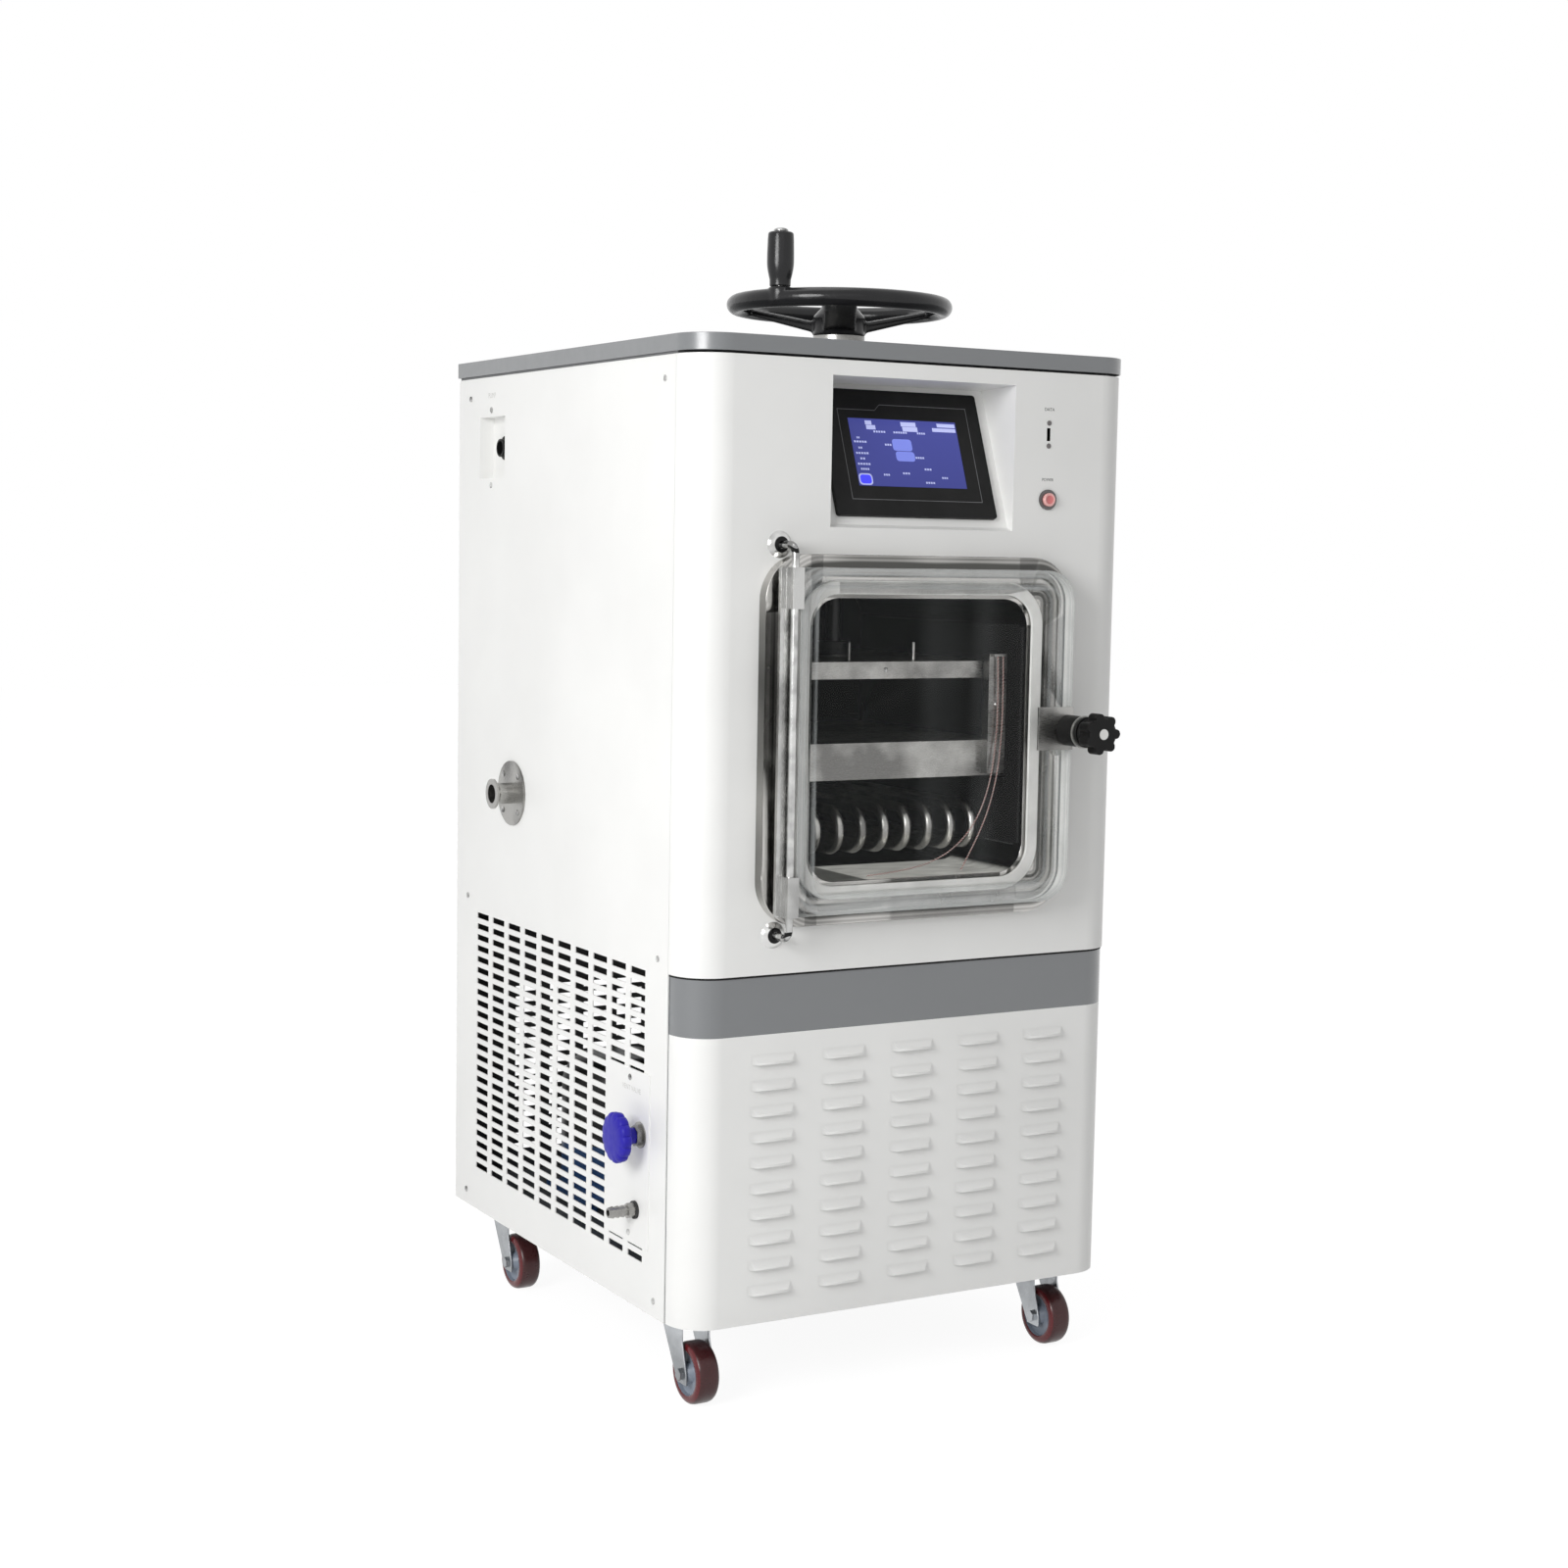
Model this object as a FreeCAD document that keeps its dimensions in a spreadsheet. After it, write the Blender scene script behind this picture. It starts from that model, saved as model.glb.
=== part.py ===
import FreeCAD, Part
import math
import os
import re

import Sketcher
from FreeCAD import Placement, Rotation, Vector

# Bench freeze dryer with a hand-driven stoppering press, on four swivel casters.
# Cabinet coordinates: x from the left face, y from the front face to the back, z from the
# cabinet's bottom edge. Every piece is then shifted so that the row's origin is on the
# floor, under the middle of the whole object's outline.

doc = FreeCAD.newDocument("FreezeDryer")

# ---------------------------------------------------------------- driving sizes, in mm
sizes = {
    # cabinet
    "body_width": 620, "body_depth": 705, "body_height": 1150,
    "sheet_thick": 1.5, "front_wrap": 51, "corner_radius": 48, "lower_inset": 2,
    "cover_thick": 20, "cover_over": 2, "cover_gap": 3,
    "band_low": 351, "band_high": 423,
    "angle_leg": 27, "angle_thick": 3, "seam_gap": 0.8,
    # vent slots in the side panels
    "vent_columns": 10, "vent_rows": 24, "vent_length": 40, "vent_height": 8,
    "vent_front": 111, "vent_back": 73.4, "vent_pitch_up": 15.26, "vent_low": 59,
    # pressed louvres in the lower front panel
    "louvre_columns": 5, "louvre_rows": 10, "louvre_width": 60, "louvre_tall": 12,
    "louvre_out": 7, "louvre_lip": 3, "louvre_slack": 1, "louvre_pitch_up": 31.1,
    "louvre_left": 86, "louvre_right": 82.8, "louvre_low": 36,
    # screws
    "screw_hole": 2.1, "screw_shank": 2, "screw_head": 4, "screw_head_tall": 2,
    "screw_long": 8, "screw_front": 79, "screw_back": 40,
    "screw_row_low": 20, "screw_row_middle": 437, "screw_row_top": 30, "screw_crown": 2.8,
    # service plate, bleed valve and drain on the left side
    "plate_front": 94, "plate_back": 208, "plate_low": 77, "plate_high": 293,
    "plate_side": 10, "plate_end": 20, "plate_screw_y": 146, "plate_screw_in": 11.5,
    "valve_y": 117, "valve_z": 216, "valve_stem": 5, "valve_neck": 9, "valve_nut": 13,
    "valve_nut_thick": 9, "valve_washer": 16, "valve_washer_thick": 1.5, "valve_fit": 0.1,
    "valve_body": 18, "valve_body_long": 40, "valve_body_back": 2.25, "valve_neck_long": 4.5,
    "knob_radius": 25.5, "knob_thick": 15,
    "knob_gap": 15, "knob_lobe": 5.5, "knob_lobes": 10, "knob_neck": 10, "knob_clear": 0.5,
    "drain_y": 128, "drain_z": 121, "drain_radius": 6, "drain_bore": 4, "drain_out": 36.5,
    "drain_barb": 7.5, "drain_barbs": 3, "drain_barb_step": 7, "drain_nut": 9.5,
    "drain_nut_long": 9, "drain_in": 24, "grommet_radius": 11, "grommet_thick": 3,
    # socket recess high on the left side
    "pocket_back": 115, "pocket_z": 1053, "pocket_wide": 84, "pocket_tall": 82,
    "pocket_deep": 20, "pocket_screw_side": 3, "pocket_screw_end": 9,
    "pump_socket_radius": 12, "pump_socket_out": 9, "pump_socket_in": 16, "pump_lip": 4,
    "pump_lip_thick": 2, "pump_clear": 0.2, "pump_wall": 2.5, "pump_well": 4,
    # vacuum port with a 25 mm clamp flange
    "port_behind": 136, "port_z": 594, "port_plate_radius": 43, "port_plate_thick": 3,
    "port_tube": 14, "port_bore": 12.5, "port_flange": 20, "port_out": 30,
    "port_lip": 3, "port_taper": 4, "port_hole": 30, "port_screw_in": 24,
    "port_turn": 200, "port_bend": 40, "port_clear": 1,
    # chamber
    "chamber_x": 302, "chamber_z": 700, "chamber_wide": 305, "chamber_tall": 336,
    "chamber_deep": 375, "chamber_wall": 3, "chamber_round": 34, "chamber_clear": 0.5,
    "flange_side": 63.5, "flange_end": 51.5, "flange_thick": 16, "flange_round": 55,
    "jacket_thick": 25, "jacket_front": 6,
    "gasket_in": 5, "gasket_band": 16, "gasket_thick": 4, "gasket_round": 38,
    "rail_wide": 14, "rail_thick": 3, "rail_front": 20,
    # door, hinge and latch
    "door_in_left": 34, "door_in_right": 9, "door_in_end": 15.5, "door_thick": 20,
    "door_round": 40, "rod_beside": 8, "rod_out": 18, "rod_radius": 4.5, "rod_past": 26,
    "rod_bend": 13, "rod_fit": 0.08, "rod_tail": 12,
    "rosette_radius": 16, "rosette_dome": 7,
    "knuckle_wide": 15, "knuckle_half": 8, "knuckle_tall": 48, "leaf_wide": 22, "leaf_thick": 6,
    "latch_in": 7, "latch_up": 8, "latch_shaft": 5, "latch_fit": 0.1,
    "latch_plate_wide": 52, "latch_plate_down": 24, "latch_plate_up": 29,
    "latch_plate_thick": 3, "sleeve_radius": 19, "sleeve_long": 40, "sleeve_gap": 0.4,
    "ring_radius": 17, "ring_thick": 2.6, "grip_neck": 15, "grip_neck_long": 10,
    "star_radius": 19.5, "star_lobe": 6, "star_thick": 19, "star_lobes": 7, "cap_radius": 6.5,
    "tongue_thick": 3, "tongue_gap": 0.5, "tongue_long": 33, "tongue_wide": 12,
    "keeper_wide": 21, "keeper_side": 4, "keeper_thick": 3.5, "keeper_tall": 11,
    "keeper_foot": 8, "keeper_gap": 1,
    # screen
    "recess_x": 310, "recess_side": 16, "recess_low": 951, "recess_brow": 4,
    "slope_front": 11, "slope_rise": 4, "slope_tilt": 21, "slope_spare": 9,
    "bezel_wide": 228, "bezel_tall": 163, "bezel_thick": 6, "bezel_above": 10,
    "bezel_round": 4, "back_side": 7, "back_end": 6, "back_deep": 30, "back_clear": 0.5,
    "glass_wide": 154, "glass_tall": 87, "glass_thick": 1.2,
    # socket and button on the front
    "socket_x": 491, "socket_z": 1071, "slot_wide": 6, "slot_tall": 16, "socket_wall": 2,
    "socket_deep": 18, "socket_floor": 3, "socket_flange_wide": 13, "socket_flange_tall": 38,
    "socket_flange_thick": 1.5, "socket_screw": 14,
    "button_z": 991, "button_hole": 11, "button_lip": 1.5, "button_ring_thick": 2.5,
    "button_radius": 8.2, "button_fit": 0.3, "button_out": 4, "button_deep": 22,
    "button_floor": 4, "button_slip": 0.1, "button_travel": 2,
    # shelf and stoppering press
    "press_x": 302, "shelf_side": 4.5, "shelf_front": 26, "shelf_back": 13, "shelf_low": 648,
    "shelf_tall": 45, "shelf_wall": 3, "shelf_top": 14,
    "press_side": 3, "press_end": 2, "press_low": 770, "press_thick": 21,
    "press_boss": 22, "press_boss_tall": 18, "stud_radius": 2, "stud_tall": 22,
    "stud_in": 30, "stud_first": 87, "stud_second": 180,
    "screw_rod": 10, "screw_fit": 0.1, "screw_rod_rise": 58,
    "column_radius": 25, "gland_tall": 20,
    "bridge_wide": 120, "bridge_thick": 10, "collar_radius": 32.5, "collar_rise": 22,
    "collar_clear": 1,
    # handwheel and revolving handle
    "wheel_radius": 142, "rim_radius": 11.5, "rim_rise": 59, "hub_radius": 33,
    "hub_top_radius": 22, "hub_rise": 68, "hub_cap": 5, "hub_taper": 12,
    "spigot_radius": 20, "spigot_long": 56, "spoke_count": 3, "spoke_wide": 40, "spoke_thick": 9,
    "spoke_root": 6, "spoke_lift": 4, "spoke_drop": 8, "shoulder_rise": 46, "running_gap": 0.3,
    "handle_in": 1.5, "handle_bearing": 205, "handle_seat": 14, "handle_seat_rise": 13,
    "handle_seat_sink": 6,
    "grip_low_radius": 13, "grip_high_radius": 16.5, "grip_tall": 65, "grip_shoulder": 6,
    "grip_end": 5, "grip_gap": 0.4, "spindle_radius": 5,
    "spindle_fit": 0.08, "spindle_head": 9, "spindle_crown": 6, "spindle_head_tall": 4.8,
    # probe bracket
    "bracket_in": 30, "bracket_wide": 26, "bracket_deep": 13, "bracket_up": 4,
    "bracket_high": 800, "bracket_sheet": 1.5, "bracket_lip_in": 4, "bracket_lip_out": 5,
    "bracket_lip_tall": 3,
    "wire_radius": 1.1,
    # cold trap coil
    "coil_tube": 6, "coil_side": 22.5, "coil_turns": 9, "coil_low": 557, "coil_tall": 50,
    "coil_front": 86, "coil_end": 45,
    # machine bay
    "compressor_x": 205, "compressor_back": 115, "compressor_radius": 85,
    "compressor_tall": 190, "compressor_foot": 12, "compressor_foot_in": 14,
    "compressor_foot_radius": 9, "compressor_plate": 6, "compressor_plate_in": 17,
    "condenser_left": 140, "condenser_wide": 330, "condenser_low": 40,
    "condenser_tall": 300, "condenser_front": 86, "condenser_deep": 44, "condenser_foot": 30,
    "condenser_foot_in": 34.5, "shroud_deep": 30, "shroud_wall": 2, "fan_radius": 120,
    "fan_clear": 5, "fan_inset": 2, "fan_hub": 28, "fan_hub_long": 24, "fan_cap": 4, "fan_fit": 0.1,
    "blade_count": 5, "blade_wide": 22, "blade_thick": 3, "blade_root": 2, "blade_back": 3,
    "blade_front": 4, "motor_radius": 40, "motor_long": 60, "motor_shaft": 5,
    "motor_shaft_short": 5, "motor_arm": 10, "motor_arm_thick": 3, "motor_arm_tall": 8,
    "inlet_x": 470, "inlet_z": 180, "inlet_wide": 50, "inlet_tall": 34, "inlet_deep": 24,
    "inlet_lip": 5, "inlet_lip_thick": 2, "inlet_wall": 4,
    "rear_columns": 6, "rear_rows": 16, "rear_left": 90, "rear_step": 53.4, "rear_screw_in": 15,
    # casters
    "caster_tall": 108, "caster_in": 51, "caster_front": 88, "caster_back": 90, "caster_trail": 25,
    "caster_plate_wide": 62, "caster_plate_long": 76, "caster_plate_thick": 4,
    "race_radius": 20, "race_tall": 5, "kingpin_radius": 5, "kingpin_head": 8,
    "kingpin_head_tall": 2.5, "fork_top": 3, "fork_leg": 3, "fork_gap": 0.3,
    "fork_back": 24, "fork_front": 24, "fork_foot": 12, "fork_back_tall": 14,
    "fork_front_tall": 20, "fork_nose": 2,
    "tyre_radius": 38, "tyre_wide": 30, "tyre_round": 7, "hub_wide": 33.4, "wheel_web": 16,
    "wheel_boss": 11, "wheel_rim": 27, "wheel_dish": 2, "axle_radius": 4, "axle_fit": 0.08, "axle_hex": 7.5,
    "axle_hex_thick": 5,
}

sheet = doc.addObject("Spreadsheet::Sheet", "Sizes")
for row, (alias, value) in enumerate(sizes.items(), 1):
    sheet.set(f"A{row}", alias)
    sheet.set(f"B{row}", str(value))
    sheet.setAlias(f"B{row}", alias)
doc.recompute()

# Levels and places that several pieces share, as expressions of the sheet's names.
LEFT_REACH = "sheet_thick + valve_nut_thick + knob_gap + knob_thick"
DOOR_BACK = "flange_thick + gasket_thick"
DOOR_FRONT = f"{DOOR_BACK} + door_thick"
SLEEVE_FRONT = f"{DOOR_FRONT} + latch_plate_thick + sleeve_long"
STAR_BACK = f"{SLEEVE_FRONT} + sleeve_gap + ring_thick + grip_neck_long"
FRONT_REACH = f"{STAR_BACK} + star_thick + 1"
CHASSIS_TOP = "body_height + cover_thick - sheet_thick"
BRIDGE_LOW = f"{CHASSIS_TOP} - angle_thick - bridge_thick"
PANEL_TOP = "body_height - cover_gap"
COVER_TOP = "body_height + cover_thick"
VENT_STEP = "(body_depth - vent_front - vent_back - vent_length) / (vent_columns - 1)"
LOUVRE_STEP = "(body_width - louvre_left - louvre_right - louvre_width) / (louvre_columns - 1)"
POCKET_Y = "body_depth - pocket_back"
PORT_Y = "chamber_deep + chamber_wall + port_behind"
CHAMBER_TOP = "chamber_z + chamber_tall / 2 + chamber_wall"
CHAMBER_LEFT = "chamber_x - chamber_wide / 2"
FLANGE_WIDE = "(chamber_wide + 2 * flange_side)"
FLANGE_TALL = "(chamber_tall + 2 * flange_end)"
DOOR_LEFT = f"(chamber_x - {FLANGE_WIDE} / 2 + door_in_left)"
DOOR_RIGHT = f"(chamber_x + {FLANGE_WIDE} / 2 - door_in_right)"
DOOR_LOW = f"(chamber_z - {FLANGE_TALL} / 2 + door_in_end)"
DOOR_HIGH = f"(chamber_z + {FLANGE_TALL} / 2 - door_in_end)"
ROD_X = f"({DOOR_LEFT} - rod_beside)"
ROD_Y = f"({DOOR_BACK} + rod_out)"
ROD_LOW = f"({DOOR_LOW} - rod_past)"
ROD_HIGH = f"({DOOR_HIGH} + rod_past)"
LATCH_X = f"({DOOR_RIGHT} - latch_in)"
LATCH_Z = "(chamber_z + latch_up)"
SHELF_WIDE = "(chamber_wide - 2 * shelf_side)"
SHELF_DEEP = "(chamber_deep - shelf_front - shelf_back)"
PRESS_WIDE = f"({SHELF_WIDE} - 2 * press_side)"
PRESS_DEEP = f"({SHELF_DEEP} - 2 * press_end)"
PRESS_Y = f"(shelf_front + {SHELF_DEEP} / 2)"
COLLAR_TOP = f"({COVER_TOP} + collar_rise)"
RIM_LEVEL = f"({COVER_TOP} + rim_rise)"
CORNER_TURNS = (30, 60)
RECESS_LEFT = "(recess_x - bezel_wide / 2 - recess_side)"
RECESS_RIGHT = "(recess_x + bezel_wide / 2 + recess_side)"
SHIFT_X = f"({LEFT_REACH} - body_width - cover_over) / 2"
SHIFT_Y = f"({FRONT_REACH} - body_depth - cover_over) / 2"


# ---------------------------------------------------------------- helpers
def formula(text):
    """The expression with each of the sheet's names written as the sheet's own cell."""
    return re.sub(r"[a-z_]+", lambda m: f"Sizes.{m[0]}" if m[0] in sizes else m[0], str(text))


def number(text):
    return float(sheet.evalExpression(formula(text)))


def bind(thing, **values):
    for name, text in values.items():
        thing.setExpression(name.replace("__", "."), formula(text))


def place(thing, x, y, z, turn=None):
    """Puts a thing at cabinet coordinates and ties its place to the sheet."""
    thing.Placement = Placement(Vector(0, 0, 0), turn or Rotation())
    bind(
        thing,
        Placement__Base__x=f"{x} + {SHIFT_X}",
        Placement__Base__y=f"{y} + {SHIFT_Y}",
        Placement__Base__z=f"{z} + caster_tall",
    )
    return thing


ALONG = {
    "x": Rotation(Vector(0, 1, 0), 90),
    "y": Rotation(Vector(1, 0, 0), -90),
    "z": Rotation(),
    "-x": Rotation(Vector(0, 1, 0), -90),
    "-y": Rotation(Vector(1, 0, 0), 90),
    "-z": Rotation(Vector(1, 0, 0), 180),
}


def box(name, x, y, z, wide, deep, tall):
    thing = doc.addObject("Part::Box", name)
    bind(thing, Length=wide, Width=deep, Height=tall)
    return place(thing, x, y, z)


def cylinder(name, axis, radius, long, x, y, z):
    thing = doc.addObject("Part::Cylinder", name)
    bind(thing, Radius=radius, Height=long)
    return place(thing, x, y, z, ALONG[axis])


def cone(name, axis, first, last, long, x, y, z):
    thing = doc.addObject("Part::Cone", name)
    bind(thing, Radius1=first, Radius2=last, Height=long)
    return place(thing, x, y, z, ALONG[axis])


def hexagon(name, axis, radius, long, x, y, z):
    thing = doc.addObject("Part::Prism", name)
    thing.Polygon = 6
    bind(thing, Circumradius=radius, Height=long)
    return place(thing, x, y, z, ALONG[axis])


def fuse(name, *things):
    joined = doc.addObject("Part::MultiFuse", name)
    joined.Shapes = list(things)
    return joined


def cut(name, base, *tools):
    tool = tools[0] if len(tools) == 1 else fuse(f"{name}_tools", *tools)
    remaining = doc.addObject("Part::Cut", name)
    remaining.Base = base
    remaining.Tool = tool
    return remaining


def feature(name, shape):
    """A piece whose form no primitive or sketch gives, already in cabinet coordinates."""
    thing = doc.addObject("Part::Feature", name)
    thing.Shape = shape
    return place(thing, "0", "0", "0")


nodes = []


def keep(thing, label):
    thing.Label = label
    nodes.append(thing)
    return thing


def keep_divided(thing, label, cells, *more):
    """Keeps a welded piece as solids that touch, one for each cell of three (from, to) ranges."""
    solids = list(more)
    for k, ranges in enumerate(cells):
        corner = [low for low, high in ranges]
        size = [f"({high}) - ({low})" for low, high in ranges]
        part = doc.addObject("Part::Common", f"{label}_part_{k}")
        part.Base = thing
        part.Tool = box(f"{label}_cell_{k}", *corner, *size)
        solids.append(part)
    whole = doc.addObject("Part::Compound", f"{label}_set")
    whole.Links = solids
    return keep(whole, label)


def new_body(name, x="0", y="0", z="0", turn=None):
    return place(doc.addObject("PartDesign::Body", name), x, y, z, turn)


def sketch_on(body, plane, level):
    """A sketch on one of the body's origin planes, lifted to a level along the plane's axis."""
    sketch = body.newObject("Sketcher::SketchObject", f"{body.Name}_sketch")
    origin_planes = {part.Role: part for part in body.Origin.OriginFeatures}
    sketch.AttachmentSupport = (origin_planes[f"{plane}_Plane"], [""])
    sketch.MapMode = "FlatFace"
    sign = "-" if plane == "XZ" else ""
    bind(sketch, AttachmentOffset__Base__z=f"{sign}({level})")
    return sketch


def fix_point(sketch, curve, end, x, y):
    """Ties a curve's point to its two coordinates."""
    for kind, text, axis in (("DistanceX", x, -2), ("DistanceY", y, -1)):
        if text == "0":
            sketch.addConstraint(Sketcher.Constraint("PointOnObject", curve, end, axis))
            continue
        value = number(text)
        index = sketch.addConstraint(Sketcher.Constraint(kind, -1, 1, curve, end, value))
        sketch.setExpression(f"Constraints[{index}]", formula(text))


def outline(*points):
    """A closed run of straight lines through points given as expressions."""
    def draw(sketch):
        first = sketch.GeometryCount
        corners = [Vector(number(x), number(y)) for x, y in points]
        count = len(corners)
        sides = [Part.LineSegment(corners[k], corners[(k + 1) % count]) for k in range(count)]
        sketch.addGeometry(sides)
        for k in range(count):
            after = first + (k + 1) % count
            sketch.addConstraint(Sketcher.Constraint("Coincident", first + k, 2, after, 1))
        for k, (x, y) in enumerate(points):
            fix_point(sketch, first + k, 1, x, y)
    return draw


def rectangle(x, y, wide, tall):
    right, top = f"{x} + {wide}", f"{y} + {tall}"
    return outline((x, y), (right, y), (right, top), (x, top))


def circle(x, y, radius):
    def draw(sketch):
        centre = Vector(number(x), number(y))
        curve = sketch.addGeometry(Part.Circle(centre, Vector(0, 0, 1), number(radius)))
        index = sketch.addConstraint(Sketcher.Constraint("Radius", curve, number(radius)))
        sketch.setExpression(f"Constraints[{index}]", formula(radius))
        fix_point(sketch, curve, 3, x, y)
    return draw


def rounded(x, y, wide, tall, radius):
    """A rectangle with its four corners rounded."""
    def draw(sketch):
        first = sketch.GeometryCount
        left, low, w, h, r = (number(text) for text in (x, y, wide, tall, radius))
        right, top = left + w, low + h
        quarter = math.pi / 2
        corners = [(right - r, low + r), (right - r, top - r), (left + r, top - r), (left + r, low + r)]
        ends = [
            (Vector(left + r, low), Vector(right - r, low)),
            (Vector(right, low + r), Vector(right, top - r)),
            (Vector(right - r, top), Vector(left + r, top)),
            (Vector(left, top - r), Vector(left, low + r)),
        ]
        for k in range(4):
            sketch.addGeometry(Part.LineSegment(*ends[k]))
            arc = Part.Circle(Vector(*corners[k]), Vector(0, 0, 1), r)
            sketch.addGeometry(Part.ArcOfCircle(arc, (k - 1) * quarter, k * quarter))
        for k in range(8):
            after = first + (k + 1) % 8
            sketch.addConstraint(Sketcher.Constraint("Tangent", first + k, 2, after, 1))
        sketch.addConstraint(Sketcher.Constraint("Horizontal", first))
        sketch.addConstraint(Sketcher.Constraint("Vertical", first + 2))
        for k in (3, 5, 7):
            sketch.addConstraint(Sketcher.Constraint("Equal", first + 1, first + k))
        index = sketch.addConstraint(Sketcher.Constraint("Radius", first + 1, r))
        sketch.setExpression(f"Constraints[{index}]", formula(radius))
        fix_point(sketch, first + 7, 3, f"{x} + {radius}", f"{y} + {radius}")
        fix_point(sketch, first + 3, 3, f"{x} + {wide} - {radius}", f"{y} + {tall} - {radius}")
    return draw


def extrude(kind, body, plane, start, end, *drawings):
    """Adds or removes what the drawings enclose, between two levels along the plane's axis."""
    sketch = sketch_on(body, plane, start)
    for draw in drawings:
        draw(sketch)
    made = body.newObject(f"PartDesign::{kind}", f"{body.Name}_{kind.lower()}")
    made.Profile = sketch
    bind(made, Length=f"({end}) - ({start})")
    made.Reversed = (plane == "XZ") == (kind == "Pad")
    sketch.Visibility = False
    body.Tip = made
    return made


def add(body, plane, start, end, *drawings):
    return extrude("Pad", body, plane, start, end, *drawings)


def remove(body, plane, start, end, *drawings):
    return extrude("Pocket", body, plane, start, end, *drawings)


def revolve(body, plane, axis, drawing):
    """Turns a drawing about one of the body's own axes."""
    sketch = sketch_on(body, plane, "0")
    drawing(sketch)
    made = body.newObject("PartDesign::Revolution", f"{body.Name}_turned")
    made.Profile = sketch
    made.ReferenceAxis = (sketch, [axis])
    made.Angle = 360
    body.Tip = made
    return made


def repeat(body, originals, sketch, across, across_step, up, up_step):
    """Copies features in a grid along a sketch's two axes."""
    grid = body.newObject("PartDesign::LinearPattern", f"{body.Name}_grid")
    grid.Originals = originals
    grid.Direction = (sketch, ["H_Axis"])
    grid.Direction2 = (sketch, ["V_Axis"])
    bind(grid, Occurrences=across, Length=f"({across} - 1) * {across_step}")
    bind(grid, Occurrences2=up, Length2=f"({up} - 1) * {up_step}")
    body.Tip = grid
    return grid


def round_edges(body, radius, chosen):
    """Rounds the tip's edges for which chosen(edge) is true, one radius for all."""
    doc.recompute()
    base = body.Tip
    names = [f"Edge{k}" for k, edge in enumerate(base.Shape.Edges, 1) if chosen(edge)]
    made = body.newObject("PartDesign::Fillet", f"{body.Name}_round")
    made.Base = (base, names)
    bind(made, Radius=radius)
    body.Tip = made
    return made


def upright_at(*spots):
    """Chooses the vertical edges that stand at the given places in the body's own frame."""
    wanted = [(number(x), number(y)) for x, y in spots]

    def chosen(edge):
        box_of = edge.BoundBox
        if box_of.ZLength < 1 or box_of.XLength + box_of.YLength > 0.001:
            return False
        return any(math.hypot(box_of.XMin - x, box_of.YMin - y) < 0.01 for x, y in wanted)
    return chosen


def path_of(points, bend=None):
    """Straight runs joined by tangent arcs. Each arc is as large as its runs allow, or bend."""
    edges, radii, start = [], [], points[0]
    for before, corner, after in zip(points, points[1:], points[2:]):
        arrive, leave = corner - before, after - corner
        half = arrive.getAngle(leave) / 2
        short = min(arrive.Length, leave.Length)
        radius = bend or 0.45 * short / math.tan(half)
        trim = radius * math.tan(half)
        begin = corner - Vector(arrive).normalize() * trim
        end = corner + Vector(leave).normalize() * trim
        inward = (Vector(leave).normalize() - Vector(arrive).normalize()).normalize()
        middle = corner + inward * (radius / math.cos(half) - radius)
        edges.append(Part.LineSegment(start, begin).toShape())
        edges.append(Part.Arc(begin, middle, end).toShape())
        radii.append(radius)
        start = end
    edges.append(Part.LineSegment(start, points[-1]).toShape())
    return Part.Wire(edges), radii


def tube_along(wire, radius, bore=0):
    """A round tube or rod swept along a wire."""
    first = wire.OrderedEdges[0]
    start, heading = first.valueAt(first.FirstParameter), first.tangentAt(first.FirstParameter)
    shapes = []
    for r in (radius, bore):
        if r:
            ring = Part.Wire([Part.Circle(start, heading, r).toShape()])
            shapes.append(wire.makePipeShell([ring], True, False))
    return shapes[0].cut(shapes[1]) if bore else shapes[0]


def point(x, y, z):
    return Vector(number(x), number(y), number(z))


# ---------------------------------------------------------------- chassis
def side_screw_places():
    rows = ("screw_row_low", "screw_row_middle", "body_height - screw_row_top")
    return [(y, z) for y in ("screw_front", "body_depth - screw_back") for z in rows]


def rear_screw_places():
    rows = ("screw_row_low", "screw_row_middle", "body_height - screw_row_top")
    return [(x, z) for x in ("rear_screw_in", "body_width - rear_screw_in") for z in rows]


def build_chassis():
    """Angle frame with a closed pan: a box with its inside and five windows taken out."""
    wide, deep = "(body_width - 2 * sheet_thick)", "(body_depth - sheet_thick - front_wrap)"
    left, front = "sheet_thick", "front_wrap"
    thick, leg = "angle_thick", "angle_leg"
    outer = box("chassis_outer", left, front, "0", wide, deep, CHASSIS_TOP)
    inner_size = (f"{wide} - 2 * {thick}", f"{deep} - 2 * {thick}", f"{CHASSIS_TOP} - 2 * {thick}")
    inner = box("chassis_inner", f"{left} + {thick}", f"{front} + {thick}", thick, *inner_size)
    window_tall = f"{CHASSIS_TOP} - 2 * {leg}"
    side = box("side_window", "0", f"{front} + {leg}", leg, "body_width", f"{deep} - 2 * {leg}", window_tall)
    face = box("face_window", f"{left} + {leg}", "0", leg, f"{wide} - 2 * {leg}", "body_depth", window_tall)
    top = box("top_window", f"{left} + {leg}", f"{front} + {leg}", leg,
              f"{wide} - 2 * {leg}", f"{deep} - 2 * {leg}", "body_height")
    tools = [inner, side, face, top]
    for k, (y, z) in enumerate(side_screw_places()):
        tools.append(cylinder(f"side_hole_{k}", "x", "screw_hole", "body_width", "0", y, z))
    for k, (x, z) in enumerate(rear_screw_places()):
        tools.append(cylinder(f"rear_hole_{k}", "y", "screw_hole", "body_depth", x, "0", z))
    keep_divided(cut("chassis_frame", outer, *tools), "chassis", chassis_cells(left, front, wide, deep))


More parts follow.
